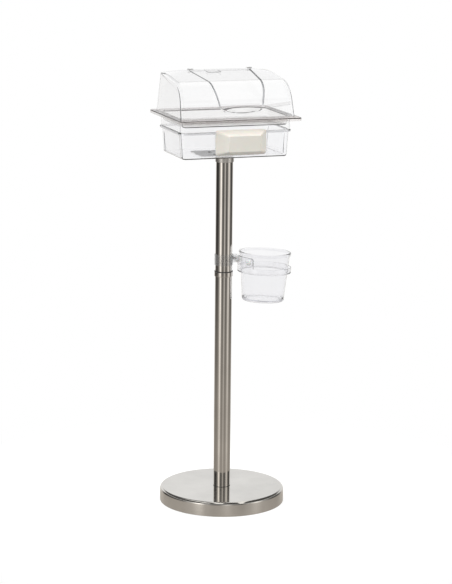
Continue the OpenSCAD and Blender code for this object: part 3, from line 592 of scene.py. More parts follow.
def riser():
    """Upright frame between the box rim and the tray, with round corners and edges."""
    low, high = span("riser_frame")
    radius, wall = 17.0, 3.0
    section = oblong(0, -wall, low[2], high[2])
    corners = [[high[0] + out, high[1] + out, radius + out, up] for out, up in section]
    shape = joined(rounded_rows(soften(corners, 1.0, 3, closed=True)), wrap=True)
    piece("riser_frame_moulded", shape, riser_finish, "riser", ["riser_frame"])


def tray():
    """Tray with a wide flange, a turned down edge and a well with round corners."""
    low, high = span("serving_tray")
    half_l, half_w, radius, edge, lip = high[0], high[1], 13.0, 2.0, 8.5
    top, bottom, wall = high[2], low[2], 2.5
    well_l, well_w, well_r, draft, inset = 155.5, 98.5, 14.0, 4.0, 12.0
    flange = lambda drawn_in, up: [half_l - drawn_in, half_w - drawn_in, radius - drawn_in, up]
    well = lambda drawn_in, turn, up: [well_l - drawn_in, well_w - drawn_in, turn, up]
    corners = [well(inset, 4, bottom), well(draft, well_r - 2, bottom), well(0, well_r, top - wall),
               flange(edge, top - wall), flange(edge, top - lip), flange(0, top - lip), flange(0, top),
               well(wall, well_r - wall, top), well(draft + wall, well_r - 2 - wall, bottom + wall),
               well(inset, 4, bottom + wall)]
    shape = joined(rounded_rows(soften(corners, [0, 6, 1.5, 1, 0.8, 0.8, 2.2, 2.5, 4, 0], 5)))
    piece("serving_tray_moulded", shape, tray_finish, "tray", ["serving_tray"])


storage_box()
riser()
tray()


# Cover and door

# Corners of the cover's side outline, as depth and height over its foot
COVER_FRONT, COVER_BEND = np.array([-117.0, 0.0]), np.array([-90.5, 91.5])
COVER_REAR, COVER_BACK = np.array([97.0, 115.0]), np.array([118.0, 0.0])
ROOF_SLOPE = (COVER_REAR[1] - COVER_BEND[1]) / (COVER_REAR[0] - COVER_BEND[0])
BEND_R, REAR_R, BEND_STEPS, COVER_EDGE = 70.0, 8.0, 24, 9.0
# Half length of the cover at its foot, and how much its ends lean in for each millimetre up
COVER_HALF, COVER_LEAN = 165.5, 5.5 / 107.5
# Middle of the door, depth of its hinge, and how far it laps over the doorway
DOOR_X, HINGE_Y, LAP = 10.0, 78.0, 3.5
# Half widths of the door at the hinge, the bend and the low edge
DOOR_HINGE, DOOR_BEND, DOOR_LOW = 90.5, 74.5, 60.0
DOOR_LOW_Z, LIP_TALL, LIP_OUT, DOOR_CORNER = 17.0, 18.0, 11.0, 16.0
DOOR_GAP, DOOR_WALL, COVER_WALL, ROW_STEP = 0.4, 2.5, 3.0, 3.0
# The roof falls by the drop from outside the hinge to each end
CROWN_HALF, CROWN_DROP = 106.0, 7.5
cover_z = span("dome_cover")[0][2]
COVER_MIDDLE = (0, 0, cover_z + 40)
side_path = soften([COVER_FRONT, COVER_BEND, COVER_REAR, COVER_BACK], [0, BEND_R, REAR_R, 0], BEND_STEPS)
bend_middle = side_path[1 + BEND_STEPS // 2]
side_length = np.linalg.norm(np.diff(side_path, axis=0), axis=1).sum()


def roof_height(depth):
    """Height of the roof's plane at a depth."""
    return cover_z + COVER_BEND[1] + ROOF_SLOPE * (depth - COVER_BEND[0])


def along_side(reached):
    """Distance along the side outline at which a condition on its points first holds."""
    places = np.linspace(0, side_length, 4000)
    points, _ = spaced(side_path, places)
    return places[np.argmax(reached(points))]


def door_half(points, lap):
    """Half width of the door at points of the side outline, drawn in by lap: it grows with the height up to
    the middle of the bend, and from there with the depth up to the hinge."""
    up = (points[:, 1] - DOOR_LOW_Z) / (bend_middle[1] - DOOR_LOW_Z)
    back = (points[:, 0] - bend_middle[0]) / (HINGE_Y - bend_middle[0])
    front = DOOR_LOW + (DOOR_BEND - DOOR_LOW) * up
    roof = DOOR_BEND + (DOOR_HINGE - DOOR_BEND) * back
    return np.where(back > 0, roof, front) - lap


def crowned(x, z):
    """Height lowered to the crown of the roof: the smooth least of the height a and the height b of a plane
    that falls to each end, (a + b - sqrt((a - b)² + blend²))/2."""
    blend = 2.0
    fall = COVER_REAR[1] - CROWN_DROP * (np.abs(x) - CROWN_HALF) / (COVER_HALF - CROWN_HALF)
    return (z + fall - np.hypot(z - fall, blend)) / 2


def quarter(depth, radius):
    """How far a round corner draws in an edge, at a depth from the corner's start."""
    left = np.clip(radius - depth, 0, radius)
    return radius - np.sqrt(radius**2 - left**2)


def cover():
    """Cover: the side outline carried from end to end. Near each end the outline is drawn in by edge·(1 -
    cos t) while the width grows by edge·sin t, which rounds the crease. The middle columns leave the doorway
    open."""
    low_place = along_side(lambda p: p[:, 1] >= DOOR_LOW_Z + LIP_TALL + LAP)
    high_place = along_side(lambda p: p[:, 0] >= HINGE_Y - 1.5 * LAP)
    lap_rows = low_place + np.linspace(0, LAP, 9)
    rows_at = [*np.arange(0, side_length, ROW_STEP), side_length, high_place, *lap_rows]
    places = np.unique(rows_at)
    base, ahead = spaced(side_path, places)
    out = np.stack([-ahead[:, 1], ahead[:, 0]], 1)
    t = np.linspace(math.pi / 2, 0, 6)
    fractions = np.linspace(0, 1, 7)[1:]
    middle = np.linspace(0, 1, 13)[1:]
    draw_in = COVER_EDGE * (1 - np.cos(t))
    inset = np.concatenate([draw_in, np.zeros(2 * len(fractions) + len(middle) - 1), draw_in[::-1]])
    y = base[:, :1] - out[:, :1] * inset
    z = base[:, 1:] - out[:, 1:] * inset
    foot = np.abs(base[:, 1]) < SAME_SPOT
    y[foot] -= z[foot] * (ahead[foot, 0] / ahead[foot, 1])[:, None]
    z[foot] = 0
    end = COVER_HALF - COVER_LEAN * np.minimum(z, COVER_REAR[1] - CROWN_DROP)
    half = door_half(base, LAP) - quarter(places - low_place, LAP)
    left_edge, right_edge = (DOOR_X - half)[:, None], (DOOR_X + half)[:, None]
    inner = COVER_HALF - COVER_LEAN * base[:, 1:] - COVER_EDGE
    round_end = end[:, :len(t)] - COVER_EDGE + COVER_EDGE * np.sin(t)
    x = np.concatenate([-round_end,
                        -inner + (left_edge + inner) * fractions,
                        left_edge + (right_edge - left_edge) * middle,
                        right_edge + (inner - right_edge) * fractions[:-1],
                        round_end[:, ::-1]], 1)
    z = np.maximum(crowned(x, z), 0)
    rows, columns = x.shape
    points = np.stack([x, y, z + cover_z], 2).reshape(-1, 3)
    quads = grid_faces(rows, columns, wrap_columns=False)
    row, column = quads[:, 0] // columns, quads[:, 0] % columns
    first = len(t) + len(fractions) - 1
    in_door = (column >= first) & (column < first + len(middle))
    in_door &= (places[row] >= low_place - SAME_SPOT) & (places[row] < high_place - SAME_SPOT)
    starts = np.arange(rows) * columns
    faces = [*quads[~in_door].tolist(), starts.tolist(), (starts + columns - 1).tolist()]
    obj = piece("cover_moulded", (points, faces), cover_finish, "cover", ["dome_cover"],
                out_from=COVER_MIDDLE)
    walled(obj, COVER_WALL, 0.5)


def door():
    """Door: the side outline a gap outside the cover, from the hinge to the low edge, where a lip flares out
    by out·t^1.6·(1 - |f|^2.4) at depth t below its root and share f of the half width. A low bead of
    tall·exp(-(d/wide)²) follows its edges."""
    root_z = DOOR_LOW_Z + LIP_TALL
    root_place = along_side(lambda p: p[:, 1] >= root_z)
    hinge_place = along_side(lambda p: p[:, 0] >= HINGE_Y)
    places = np.unique([*np.arange(root_place, hinge_place, ROW_STEP), hinge_place])
    base, ahead = spaced(side_path, places)
    out = np.stack([-ahead[:, 1], ahead[:, 0]], 1)
    low_z = DOOR_LOW_Z + LIP_TALL * np.linspace(0, 1, 20)[:-1] ** 1.3
    slope = (COVER_BEND[0] - COVER_FRONT[0]) / COVER_BEND[1]
    low = np.stack([COVER_FRONT[0] + slope * low_z, low_z], 1)
    base = np.concatenate([low, base])
    root_row = len(low)
    out = np.concatenate([np.repeat(out[:1], root_row, 0), out])
    shares = np.sin(np.linspace(-math.pi / 2, math.pi / 2, 49))
    in_front = base[:, 0] < 0
    half = door_half(base, 0) - quarter(base[:, 1] - DOOR_LOW_Z, DOOR_CORNER) * in_front
    x = DOOR_X + half[:, None] * shares
    bead_tall, bead_wide = 0.9, 2
    bead = bead_tall * np.exp(-(half[:, None] * (1 - np.abs(shares)) / bead_wide) ** 2)
    t = np.clip((root_z - base[:, 1]) / LIP_TALL, 0, 1) * in_front
    flare = LIP_OUT * t[:, None] ** 1.6 * (1 - np.abs(shares) ** 2.4)
    y = base[:, :1] + out[:, :1] * (DOOR_GAP + DOOR_WALL + bead) - flare
    z = base[:, 1:] + out[:, 1:] * bead + cover_z
    points = np.stack([x, y, z], 2).reshape(-1, 3)
    faces = grid_faces(*x.shape, wrap_columns=False).tolist()
    obj = piece("door_moulded", (points, faces), cover_finish, "door", ["front_door"],
                out_from=COVER_MIDDLE)
    walled(obj, DOOR_WALL, 0.5)
    across, thick, lift = 1.6, 1.4, 0.4
    a = np.linspace(0, 2 * math.pi, 12, endpoint=False)
    up = DOOR_GAP + DOOR_WALL / 2 + lift + thick * np.sin(a)
    y = base[:, :1] + out[:, :1] * up
    z = base[:, 1:] + out[:, 1:] * (up - DOOR_GAP - DOOR_WALL) + cover_z
    edges = []
    for side in (-1, 1):
        x = DOOR_X + side * (half[:, None] - across * (1 - np.cos(a)))
        edges.append(joined(np.stack([x, y, z], 2)[root_row:]))
    piece("door_edges", together(*edges), edge_finish, "door")


def hinge_parts():
    """Barrels at the door's corners, and the cover's lugs beside them with round tops."""
    low, high = span("hinge_pins")
    hinge_z = (low[2] + high[2]) / 2
    barrel_r, barrel_l, lug_t, gap, sunk = 3.0, 12.0, 4.0, 0.3, 0.5
    barrel = turned(soften(oblong(0, barrel_r, 0, barrel_l), 0.6, 3), steps=48)
    lug_r = barrel_r + 0.4
    a = np.linspace(0, math.pi, 17)
    foot = np.array([-1, 1]) * (lug_r + 2.5) + HINGE_Y
    arch = np.stack([HINGE_Y + lug_r * np.cos(a), hinge_z + lug_r * np.sin(a)], 1)
    outline = np.concatenate([arch, np.stack([foot, roof_height(foot) - sunk], 1)])
    barrels, lugs = [], []
    for side in (-1, 1):
        edge = DOOR_X + side * DOOR_HINGE
        barrels.append(aimed(barrel, (edge, HINGE_Y, hinge_z), (-side, 0, 0)))
        ends = sorted((edge + side * gap, edge + side * (gap + lug_t)))
        lugs.append(plate(outline, *ends, 0.5, axes=(1, 2, 0)))
    piece("door_barrels", together(*barrels), hinge_finish, "door")
    piece("cover_lugs", together(*lugs), hinge_finish, "cover")


def roof_pad():
    """Low plain pad moulded on the door's roof part: rounded rectangles that rise to its height over the
    roof's plane."""
    lean = math.hypot(1, ROOF_SLOPE)
    middle_x, middle_y, half_l, half_w, radius, tall = -18.0, 56.0, 21.0, 17.0, 6.0, 0.9
    places = [(0, -0.3), (0, tall), (2.5, tall), (3.2, 0.1)]
    corners = [[half_l - inset, half_w - inset, radius - inset, up] for inset, up in places]
    loops = []
    for length, width, turn, up in soften(corners, [0, 0.5, 0.5, 0], 4):
        points, _, _ = rounded_loop(2 * length, 2 * width, turn, corner=8)
        depth = middle_y + points[:, 1] / lean
        roof = roof_height(depth) + (DOOR_GAP + DOOR_WALL) * lean
        y, z = depth - up * ROOF_SLOPE / lean, roof + up / lean
        loops.append(np.column_stack([points[:, 0] + middle_x, y, z]))
    piece("roof_pad", joined(loops), cover_finish, "door")


cover()
door()
roof_pad()
hinge_parts()


# Sign


def sign():
    """Plaque: rounded rectangles in width and height that rise from the outer edge over a bevel to a raised
    panel, and a recess for the plate behind."""
    low, high = span("sign_plaque")
    middle, half = (low + high) / 2, (high - low) / 2
    back, front, rim, shell = high[1], low[1], 4.0, 2.1
    panel_w, panel_h, flat_w, flat_h = 46.0, 22.0, 40.0, 17.0
    corners = [[half[0] - shell, half[2] - shell, 5.0, back - 2.2],
               [half[0] - shell, half[2] - shell, 5.0, back],
               [half[0], half[2], 7.0, back],
               [half[0], half[2], 7.0, back - rim],
               [panel_w, panel_h, 4.0, front],
               [flat_w, flat_h, 2.0, front]]
    loops = []
    for w, h, radius, y in soften(corners, [0, 0.2, 0.3, 1.2, 1.6, 0], 5):
        points, _, _ = rounded_loop(2 * w, 2 * h, radius, corner=6)
        loops.append(np.insert(points + middle[[0, 2]], 1, y, axis=1))
    piece("sign_plaque_moulded", joined(loops), ivory_finish, "sign", ["sign_plaque"],
          sharp=25)


sign()


# Cup, ring and clamp

# The holder's turn about the pole, and its sag about the clamp screw, which is its pivot
ARM_TURN, SAG = math.radians(15), math.radians(2.5)
# REACH is from the pole's axis to the cup's
PIVOT_X, PIVOT_Z, REACH = 38.0, 706.0, 142.0
RING_R, RING_IN, RING_Z, RING_TALL = 77.0, 73.8, 661.0, 16.5
SADDLE_MID, SADDLE_TALL, SADDLE_IN, SADDLE_T = 695.0, 25.0, 77.2, 3.0
# Angle of the saddle's two screws about the cup's axis, height of the clamp band, and the ears' outer faces
SCREW_A = math.radians(21)
BAND_TALL, EAR_Y = 31.5, 6.8


def turned_to_arm(shape):
    """Shape drawn with the holder straight to the right, turned to the holder's direction."""
    points, faces = shape
    c, s = math.cos(ARM_TURN), math.sin(ARM_TURN)
    return points @ np.array([[c, s, 0], [-s, c, 0], [0, 0, 1]]), faces


def sagged(shape):
    """The same, after the shape has sagged about the clamp screw."""
    points, faces = shape
    c, s = math.cos(SAG), math.sin(SAG)
    x, z = points[:, 0] - PIVOT_X, points[:, 2] - PIVOT_Z
    moved = np.stack([PIVOT_X + c * x + s * z, points[:, 1], PIVOT_Z - s * x + c * z], 1)
    return turned_to_arm((moved, faces))


def at_cup(shape):
    """Shape drawn about the Z axis, moved to the cup's axis and sagged."""
    points, faces = shape
    return sagged((points + [REACH, 0, 0], faces))


def upright(angle, radius, height):
    """Points at an angle about the Z axis from the side of the pole, with their radii and heights."""
    return np.stack([-radius * np.cos(angle), -radius * np.sin(angle), height], 1)


def cup():
    """Cup: a closed profile turned about its axis, with a rolled rim, a step under it and a ring foot."""
    foot_r, rim_r, z0, tall, taper, wall, floor_up = 59.6, 74.8, 578.0, 141.0, 0.09, 2.2, 7
    top, under, step, rim = z0 + tall, z0 + tall - 22, z0 + tall - 2.5, z0 + tall - 9
    outer = lambda z: foot_r + taper * (z - z0)
    section = [[0, z0 + 4], [foot_r - 12, z0 + 4], [foot_r - 10, z0], [foot_r, z0], [outer(under), under],
               [outer(top - 2.5), step], [rim_r - 1.6, step], [rim_r - 1.6, rim], [rim_r, rim], [rim_r, top],
               [outer(top) - wall, top], [outer(z0 + floor_up) - wall, z0 + floor_up], [0, z0 + floor_up]]
    radii = [0, 1.5, 1.5, 4, 0, 1.2, 0.6, 0.6, 0.6, 1.6, 1.2, 6, 0]
    shape = at_cup(turned(soften(section, radii, 6)))
    piece("waste_cup_moulded", shape, cup_finish, "cup", ["waste_cup"])


def cup_ring():
    """Ring: at each angle a closed section with a ledge, whose top rises to the saddle within the ear. The
    ear's upper corners are round."""
    ear_top, corner, ear_a = SADDLE_MID + SADDLE_TALL / 2, 9.0, math.radians(30)
    ledge_in, ledge_z, ring_top = 67.6, RING_Z + 3.0, RING_Z + RING_TALL
    near_corner = ear_a - np.linspace(-math.radians(0.25), corner / RING_R, 14)
    around = np.linspace(-math.pi, math.pi, 180, endpoint=False)
    angles = np.unique(np.concatenate([around, -near_corner, near_corner]))
    inside = RING_R * (ear_a - np.abs(angles))
    tops = np.where(inside >= 0, ear_top - quarter(inside, corner), ring_top)
    loops = []
    for angle, top in zip(angles, tops):
        section = [[ledge_in, RING_Z], [RING_R, RING_Z], [RING_R, top], [RING_IN, top], [RING_IN, ledge_z],
                   [ledge_in, ledge_z]]
        loops.append(upright(angle, *soften(section, [0.5, 0.9, 0.8, 0.8, 0.9, 0.5], 3, closed=True).T))
    shape = at_cup(joined(loops, wrap=True))
    piece("cup_ring_moulded", shape, holder_finish, "holder", ["cup_ring"])


def holder_arm():
    """Arm: a saddle wrapped round the ring, whose outline is a stadium, and a blade that runs to the clamp.
    On the saddle, share k of the outline at angle f lies at the width side·a·r + k·b·cos f and the height
    k·b·sin f, where a is the screws' angle, r the ring's radius and b half the saddle's height."""
    b = SADDLE_TALL / 2
    turn = np.linspace(-math.pi / 2, math.pi / 2, 17)
    straight = np.linspace(1, -1, 15)[1:-1]
    side = np.concatenate([np.ones(17), straight, -np.ones(17), -straight])
    cos = np.concatenate([np.cos(turn), 0 * straight, -np.cos(turn), 0 * straight])
    sin = np.concatenate([np.sin(turn), 0 * straight + 1, -np.sin(turn), 0 * straight - 1])
    round_edge, t = 0.7, np.linspace(0, math.pi / 2, 4)
    shares = np.concatenate([np.linspace(0, 1, 5)[:-1], 1 - round_edge / b * (1 - np.sin(t))])
    insets = np.concatenate([np.zeros(4), round_edge * (1 - np.cos(t))])
    skins = [*zip(shares, SADDLE_IN + SADDLE_T - insets), *zip(shares[::-1], SADDLE_IN + insets[::-1])]
    loops = [upright(side * SCREW_A + k * b * cos / RING_R, r, SADDLE_MID + k * b * sin) for k, r in skins]
    saddle = at_cup(joined(loops, caps=False))
    foot, end_r, half_t = REACH - SADDLE_IN - SADDLE_T / 2, 9.0, 2.5
    a = np.linspace(math.pi / 2, 3 * math.pi / 2, 17)
    end = np.stack([PIVOT_X + end_r * np.cos(a), PIVOT_Z + end_r * np.sin(a)], 1)
    outline = np.concatenate([end, [[foot, SADDLE_MID - b + 2], [foot, SADDLE_MID + b - 0.5]]])
    blade = sagged(plate(outline, -half_t, half_t, 0.6, axes=(0, 2, 1)))
    piece("arm_saddle", saddle, holder_finish, "holder", ["holder_arm"])
    piece("arm_blade", blade, ear_finish, "holder")


def ring_screws():
    """Round heads with a low crown, on shanks through saddle and ring."""
    head_r, head_in, shank_r, shank_in = 8.0, SADDLE_IN + SADDLE_T, 2.0, RING_IN - 2.2
    brim, crown = head_in + 2.4, head_in + 3.9
    section = [[0, shank_in], [shank_r, shank_in], [shank_r, head_in], [head_r, head_in], [head_r, brim],
               [head_r - 3, crown], [0, crown]]
    screw = turned(soften(section, [0, 0.4, 0.2, 0.5, 1.4, 2.5, 0], 5), steps=48)
    heads = []
    for side in (-1, 1):
        ray = (-math.cos(SCREW_A), -side * math.sin(SCREW_A), 0)
        heads.append(at_cup(aimed(screw, (0, 0, SADDLE_MID), ray)))
    piece("ring_screws_round", together(*heads), head_finish, "holder", ["ring_screws"])


def clamp():
    """Clamp band with its gap, the two ears beside the gap, and the liner under the band."""
    low, high = PIVOT_Z - BAND_TALL / 2, PIVOT_Z + BAND_TALL / 2
    in_r, out_r, gap = 25.0, 27.0, 2.8
    r, z = soften(oblong(in_r, out_r, low, high), 0.6, 3, closed=True).T
    start = math.asin(gap / in_r)
    turns = np.linspace(start, 2 * math.pi - start, 97)
    band = joined([np.stack([r * math.cos(turn), r * math.sin(turn), z], 1) for turn in turns])
    piece("clamp_band_moulded", turned_to_arm(band), band_finish, "clamp", ["clamp_band"])
    ear_start, ear_end, ear_half = 24.6, 47.0, 12.25
    outline = oblong(ear_start, ear_end, PIVOT_Z - ear_half, PIVOT_Z + ear_half)
    outline = soften(outline, [0, 6, 6, 0], 8, closed=True)
    ears = [plate(outline, y0, y1, 0.6, axes=(0, 2, 1)) for y0, y1 in ((gap, EAR_Y), (-EAR_Y, -gap))]
    piece("clamp_ears", turned_to_arm(together(*ears)), ear_finish, "clamp")
    liner = ring(oblong(24.05, 24.95, low, high), 0.3, 2)
    piece("clamp_liner_sleeve", liner, liner_finish, "liner", ["clamp_liner"])


def clamp_screw():
    """Knob on its shank. At angle a and share s of its radius r, flutes draw it in to s·(r - c·s^4), where c
    is the square of cos(flutes·a) where that is above 0."""
    knob_r, knob_start, flutes, clearance, past_nut = 7.0, EAR_Y + 0.3, 8, 0.5, 5
    knob_end = EAR_Y + 8.0
    a = np.linspace(0, 2 * math.pi, 160, endpoint=False)
    flute = np.clip(np.cos(flutes * a), 0, 1) ** 2
    rows = [[0, knob_start], [1, knob_start], [1, knob_end], [0.72, knob_end + 0.3], [0, knob_end + 0.3]]
    loops = []
    for share, height in soften(rows, [0, 0.12, 0.12, 0.1, 0], 5):
        r = share * (knob_r - flute * share**4)
        loops.append(np.stack([r * np.cos(a), r * np.sin(a), np.full(len(a), height)], 1))
    knob = aimed(joined(loops, caps=False), (PIVOT_X, 0, PIVOT_Z), (0, -1, 0))
    length = knob_start + clearance + EAR_Y + past_nut
    shank = turned(soften(oblong(0, 2.5, 0, length), 0.5, 3), steps=48)
    shank = aimed(shank, (PIVOT_X, -knob_start - clearance, PIVOT_Z), (0, 1, 0))
    shape = turned_to_arm(together(knob, shank))
    piece("clamp_screw_knob", shape, grip_finish, "screw", ["clamp_screw"])


cup()
cup_ring()
holder_arm()
ring_screws()
clamp()
clamp_screw()


# Finishes of the nodes that stay as they are

KEPT = {
    iron_finish: ["base_weight"],
    zinc_finish: ["base_bolt", "base_washer", "plate_bolt", "mount_screws", "mount_nuts"],
    nut_finish: ["clamp_nut", "ring_nuts"],
    collar_finish: ["bottom_plug", "joint_spigot", "top_plug"],
    plate_finish: ["mount_plate"],
    pin_finish: ["hinge_pins"],
    ivory_finish: ["sign_back"],
    box_finish: ["sign_hooks"],
}
for finish, names in KEPT.items():
    for name in names:
        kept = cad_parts[name]
        kept.data.materials.clear()
        kept.data.materials.append(finish)


# Camera, floor and light

CAMERA_TURN, CAMERA_FAR, CAMERA_HIGH = math.radians(19.03), 6.336, 1.934
CAMERA_DOWN, CAMERA_ROLL = math.radians(11.88), math.radians(0.53)
PHOTO_HIGH, FOCAL = 584, 2280.6
SHIFT_X, SHIFT_Y = 0.0045, 0.0059
# Level directions from the camera to the object and to the camera's right
TO_OBJECT = (math.sin(CAMERA_TURN), math.cos(CAMERA_TURN), 0)
TO_RIGHT = (math.cos(CAMERA_TURN), -math.sin(CAMERA_TURN), 0)


def placed(obj, right, up, back, place):
    """Puts an object into the scene at a place, with its right, up and backward directions."""
    rows = np.stack([right, up, back, place], 1).tolist()
    obj.matrix_world = Matrix([*rows, [0, 0, 0, 1]])
    bpy.context.scene.collection.objects.link(obj)


def camera():
    """Camera at the photograph's place, from its turn about the object, its downward look and its roll."""
    level, right = np.array(TO_OBJECT), np.array(TO_RIGHT)
    ahead = level * math.cos(CAMERA_DOWN) - [0, 0, math.sin(CAMERA_DOWN)]
    up = np.cross(right, ahead)
    c, s = math.cos(CAMERA_ROLL), math.sin(CAMERA_ROLL)
    data = bpy.data.cameras.new("camera")
    data.sensor_width = 36
    data.lens = FOCAL * data.sensor_width / PHOTO_HIGH
    data.shift_x, data.shift_y = SHIFT_X, SHIFT_Y
    obj = bpy.data.objects.new("camera", data)
    placed(obj, right * c + up * s, up * c - right * s, -ahead, [0, 0, CAMERA_HIGH] - CAMERA_FAR * level)
    bpy.context.scene.camera = obj


def floor():
    """Wide pale floor. The camera sees it lifted to white, with the object's shadow kept near the stand and
    plain white further out."""
    size, lift, near, far = 30.0, 0.66, 0.45, 0.9
    mesh = bpy.data.meshes.new("floor")
    mesh.from_pydata([(*corner, 0) for corner in oblong(-size, size, -size, size)], [], [(0, 1, 2, 3)])
    obj = bpy.data.objects.new("floor", mesh)
    bpy.context.scene.collection.objects.link(obj)
    finish = bpy.data.materials.new("floor_paint")
    finish.use_nodes = True
    tree = finish.node_tree
    tree.nodes.clear()
    tint = blended(tree, noise(tree, spot(tree), 1.5, 2.0), grey(0.42), grey(0.41))
    matt = node(tree, "BsdfDiffuse", {"Color": tint}).outputs[0]
    glow, white = [node(tree, "Emission", {"Color": (1, 1, 1, 1), "Strength": strength}).outputs[0]
                   for strength in (lift, 1.0)]
    lifted = node(tree, "AddShader", {0: matt, 1: glow}).outputs[0]
    away = measured(tree, "LENGTH", spot(tree))
    fading = mixed(tree, ranged(tree, away, 0, 1, near, far), lifted, white)
    path = node(tree, "LightPath").outputs
    seen = maths(tree, "MAXIMUM", path["Is Camera Ray"], path["Is Transmission Ray"])
    out = node(tree, "OutputMaterial")
    tree.links.new(mixed(tree, seen, matt, fading), out.inputs["Surface"])
    mesh.materials.append(finish)
    obj.visible_glossy = False
    obj.visible_transmission = False


BLACK, WHITE = grey(0), grey(1)
# Brightness of the room round the stand, seen in its steel, by angle from the camera's side in degrees
ROOM_BANDS = [(-179, 0.95), (-150, 0.8), (-128, 0.05), (-98, 0.05), (-78, 0.12), (-60, 0.6), (-41, 2.0),
              (-28, 0.5), (-14, 0.12), (-4, 0.2), (11, 0.85), (24, 0.22), (38, 0.10), (52, 0.55), (68, 1.35),
              (86, 0.40), (106, 0.08), (128, 0.12), (152, 0.85), (179, 0.95)]
ROOM_TINT = (1.0, 0.965, 0.925)
# The bands fade between two heights of the direction, by these shares, into the room's lower part and floor
FADE_HIGH, FADE_LOW = -0.17, -0.30
FADE_STOPS = [(0, BLACK), (0.8, grey(0.60)), (0.86, grey(0.64)), (0.91, grey(0.97))]
ROOM_LOW, ROOM_FLOOR = (0.60, 0.552, 0.495), (0.53, 0.490, 0.445)
FLOOR_HIGH, FLOOR_LOW = -0.282, -0.291
RAIL, CEILING, OPENING = (1.45, 1.43, 1.40), (0.10, 0.097, 0.093), (1.3, 1.28, 1.25)
# Heights of the direction on the camera's side and behind the object, where the rail and the ceiling start,
# and how far the ceiling takes to fade in
RAIL_START, CEILING_START, CEILING_FADE, RAIL_FADE = (0.30, 0.02), (0.38, 0.322), (0.05, 0.16), 0.06
# Where a direction starts to count as behind, and where it does in full, as its share towards the object
BEHIND = (0.6, 0.9)
# Heights over which the ceiling's openings and its bar light up
OPENINGS_RISE, BAR_RISE = (0.72, 0.85), (0.44, 0.52)
# Brightness of the openings in its ceiling, by the sideways part of the direction to them
OPENINGS = [(-0.43, 0), (-0.39, 1), (-0.28, 1), (-0.25, 0), (-0.17, 0), (-0.13, 1), (0.02, 1), (0.06, 0)]
# The same for a lower one that runs towards the camera, by the x part
BAR = [(0.23, BLACK), (0.27, WHITE), (0.36, WHITE), (0.40, BLACK)]
# What clear pieces show of the white behind the object, by the height of the direction
BACKDROP = [(0.28, WHITE), (0.35, grey(0.72)), (0.45, grey(0.72)), (0.6, WHITE)]
SOFT_LIGHT, SOFT_WAY = (1, 0.995, 0.985, 1), (-0.55, -0.1, 0.83)


def ramp(tree, share, stops):
    """Smooth run of colours along a share from 0 to 1, from stops of (place, colour)."""
    made = node(tree, "ValToRGB", {0: share})
    elements = made.color_ramp.elements
    made.color_ramp.interpolation = "EASE"
    while len(elements) < len(stops):
        elements.new(0.5)
    for element, (place, colour) in zip(elements, sorted(stops)):
        element.position = place
        element.color = (*colour, 1)
    return made.outputs[0]


def room_walls(tree, x, y, z, behind):
    """Bright and dark bands on the camera's side that fade towards the floor and brighten above a rail, and
    a white wall behind the object. behind is 0 on the camera's side and 1 behind."""
    start = 180 - math.degrees(CAMERA_TURN)
    angle = maths(tree, "ARCTAN2", x, maths(tree, "MULTIPLY", y, -1.0))
    stops = [((a + start) % 360 / 360, [level * part for part in ROOM_TINT]) for a, level in ROOM_BANDS]
    bands = ramp(tree, ranged(tree, angle, 0, 1, -math.pi, math.pi), stops)
    faded = ramp(tree, ranged(tree, z, 0, 1, FADE_HIGH, FADE_LOW), FADE_STOPS)
    low = blended(tree, ranged(tree, z, 0, 1, FLOOR_HIGH, FLOOR_LOW), ROOM_LOW, ROOM_FLOOR)
    rail = blended(tree, behind, blended(tree, 0.8, bands, RAIL), WHITE)
    above = maths(tree, "SUBTRACT", z, ranged(tree, behind, *RAIL_START, 0, 1))
    return blended(tree, ranged(tree, above, 0, 1, 0, RAIL_FADE), blended(tree, faded, bands, low), rail)


def room_ceiling(tree, way, x, z):
    """Dark ceiling with bright openings."""
    aside = ranged(tree, measured(tree, "DOT_PRODUCT", way, TO_RIGHT), 0, 1, -1, 1)
    openings = ramp(tree, aside, [((a + 1) / 2, grey(level)) for a, level in OPENINGS])
    lit = maths(tree, "MULTIPLY", openings, ranged(tree, z, 0, 1, *OPENINGS_RISE))
    bar = maths(tree, "MULTIPLY", ramp(tree, x, BAR), ranged(tree, z, 0, 1, *BAR_RISE))
    return blended(tree, maths(tree, "MAXIMUM", lit, bar), CEILING, OPENING)


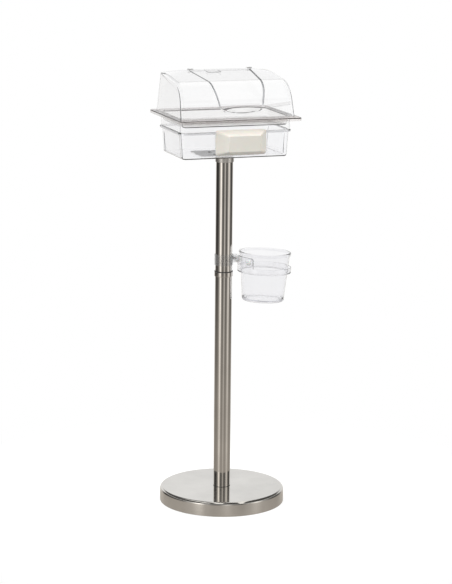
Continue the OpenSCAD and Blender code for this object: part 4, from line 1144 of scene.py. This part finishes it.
def room():
    """White round the object for the camera, a room of walls and ceiling for reflections, soft light on
    matt surfaces, and through clear pieces the white, lightly marked, or the lightened room on the
    camera's side."""
    world = bpy.data.worlds.new("room")
    bpy.context.scene.world = world
    world.use_nodes = True
    tree = world.node_tree
    tree.nodes.clear()
    way = node(tree, "TexCoord").outputs["Generated"]
    x, y, z = axes_of(tree, way)
    away = measured(tree, "DOT_PRODUCT", way, TO_OBJECT)
    behind = ranged(tree, away, 0, 1, *BEHIND)
    over = maths(tree, "DIVIDE", maths(tree, "SUBTRACT", z, ranged(tree, behind, *CEILING_START, 0, 1)),
                 ranged(tree, behind, *CEILING_FADE, 0, 1))
    walls, ceiling = room_walls(tree, x, y, z, behind), room_ceiling(tree, way, x, z)
    mirrored = blended(tree, ranged(tree, over, 0, 1, 0, 1), walls, ceiling)
    lighter = blended(tree, 0.65, mirrored, WHITE)
    through = blended(tree, ranged(tree, away, 0, 1, -0.25, -0.05), lighter, ramp(tree, z, BACKDROP))
    slant = ranged(tree, measured(tree, "DOT_PRODUCT", way, SOFT_WAY), 0.20, 0.98, -1, 1)
    sky = node(tree, "Background", {0: SOFT_LIGHT, 1: slant}).outputs[0]
    path = node(tree, "LightPath").outputs
    for ray, colour in (("Glossy", mirrored), ("Transmission", through), ("Camera", (1, 1, 1, 1))):
        seen = node(tree, "Background", {0: colour, 1: 1.0}).outputs[0]
        sky = mixed(tree, path[f"Is {ray} Ray"], sky, seen)
    out = node(tree, "OutputWorld")
    tree.links.new(sky, out.inputs["Surface"])


def lamp(name, place, height, size, power):
    """Square soft lamp at a place, turned to a height on the object and left out of reflections and clear
    pieces."""
    data = bpy.data.lights.new(name, "AREA")
    data.size = size
    data.energy = power
    obj = bpy.data.objects.new(name, data)
    back = unit(np.array(place) - [0, 0, height])
    side = unit(np.cross([0, 0, 1], back))
    placed(obj, side, np.cross(back, side), back, place)
    obj.visible_glossy = False
    obj.visible_transmission = False


camera()
floor()
room()
lamp("key", (-3.0, -1.8, 4.2), 0.7, 1.6, 105)
lamp("fill", (3.2, -1.6, 3.4), 0.7, 1.8, 80)
lamp("top", (0.4, 0.8, 3.6), 0.6, 1.5, 24)

scene = bpy.context.scene
scene.view_settings.view_transform = "Standard"
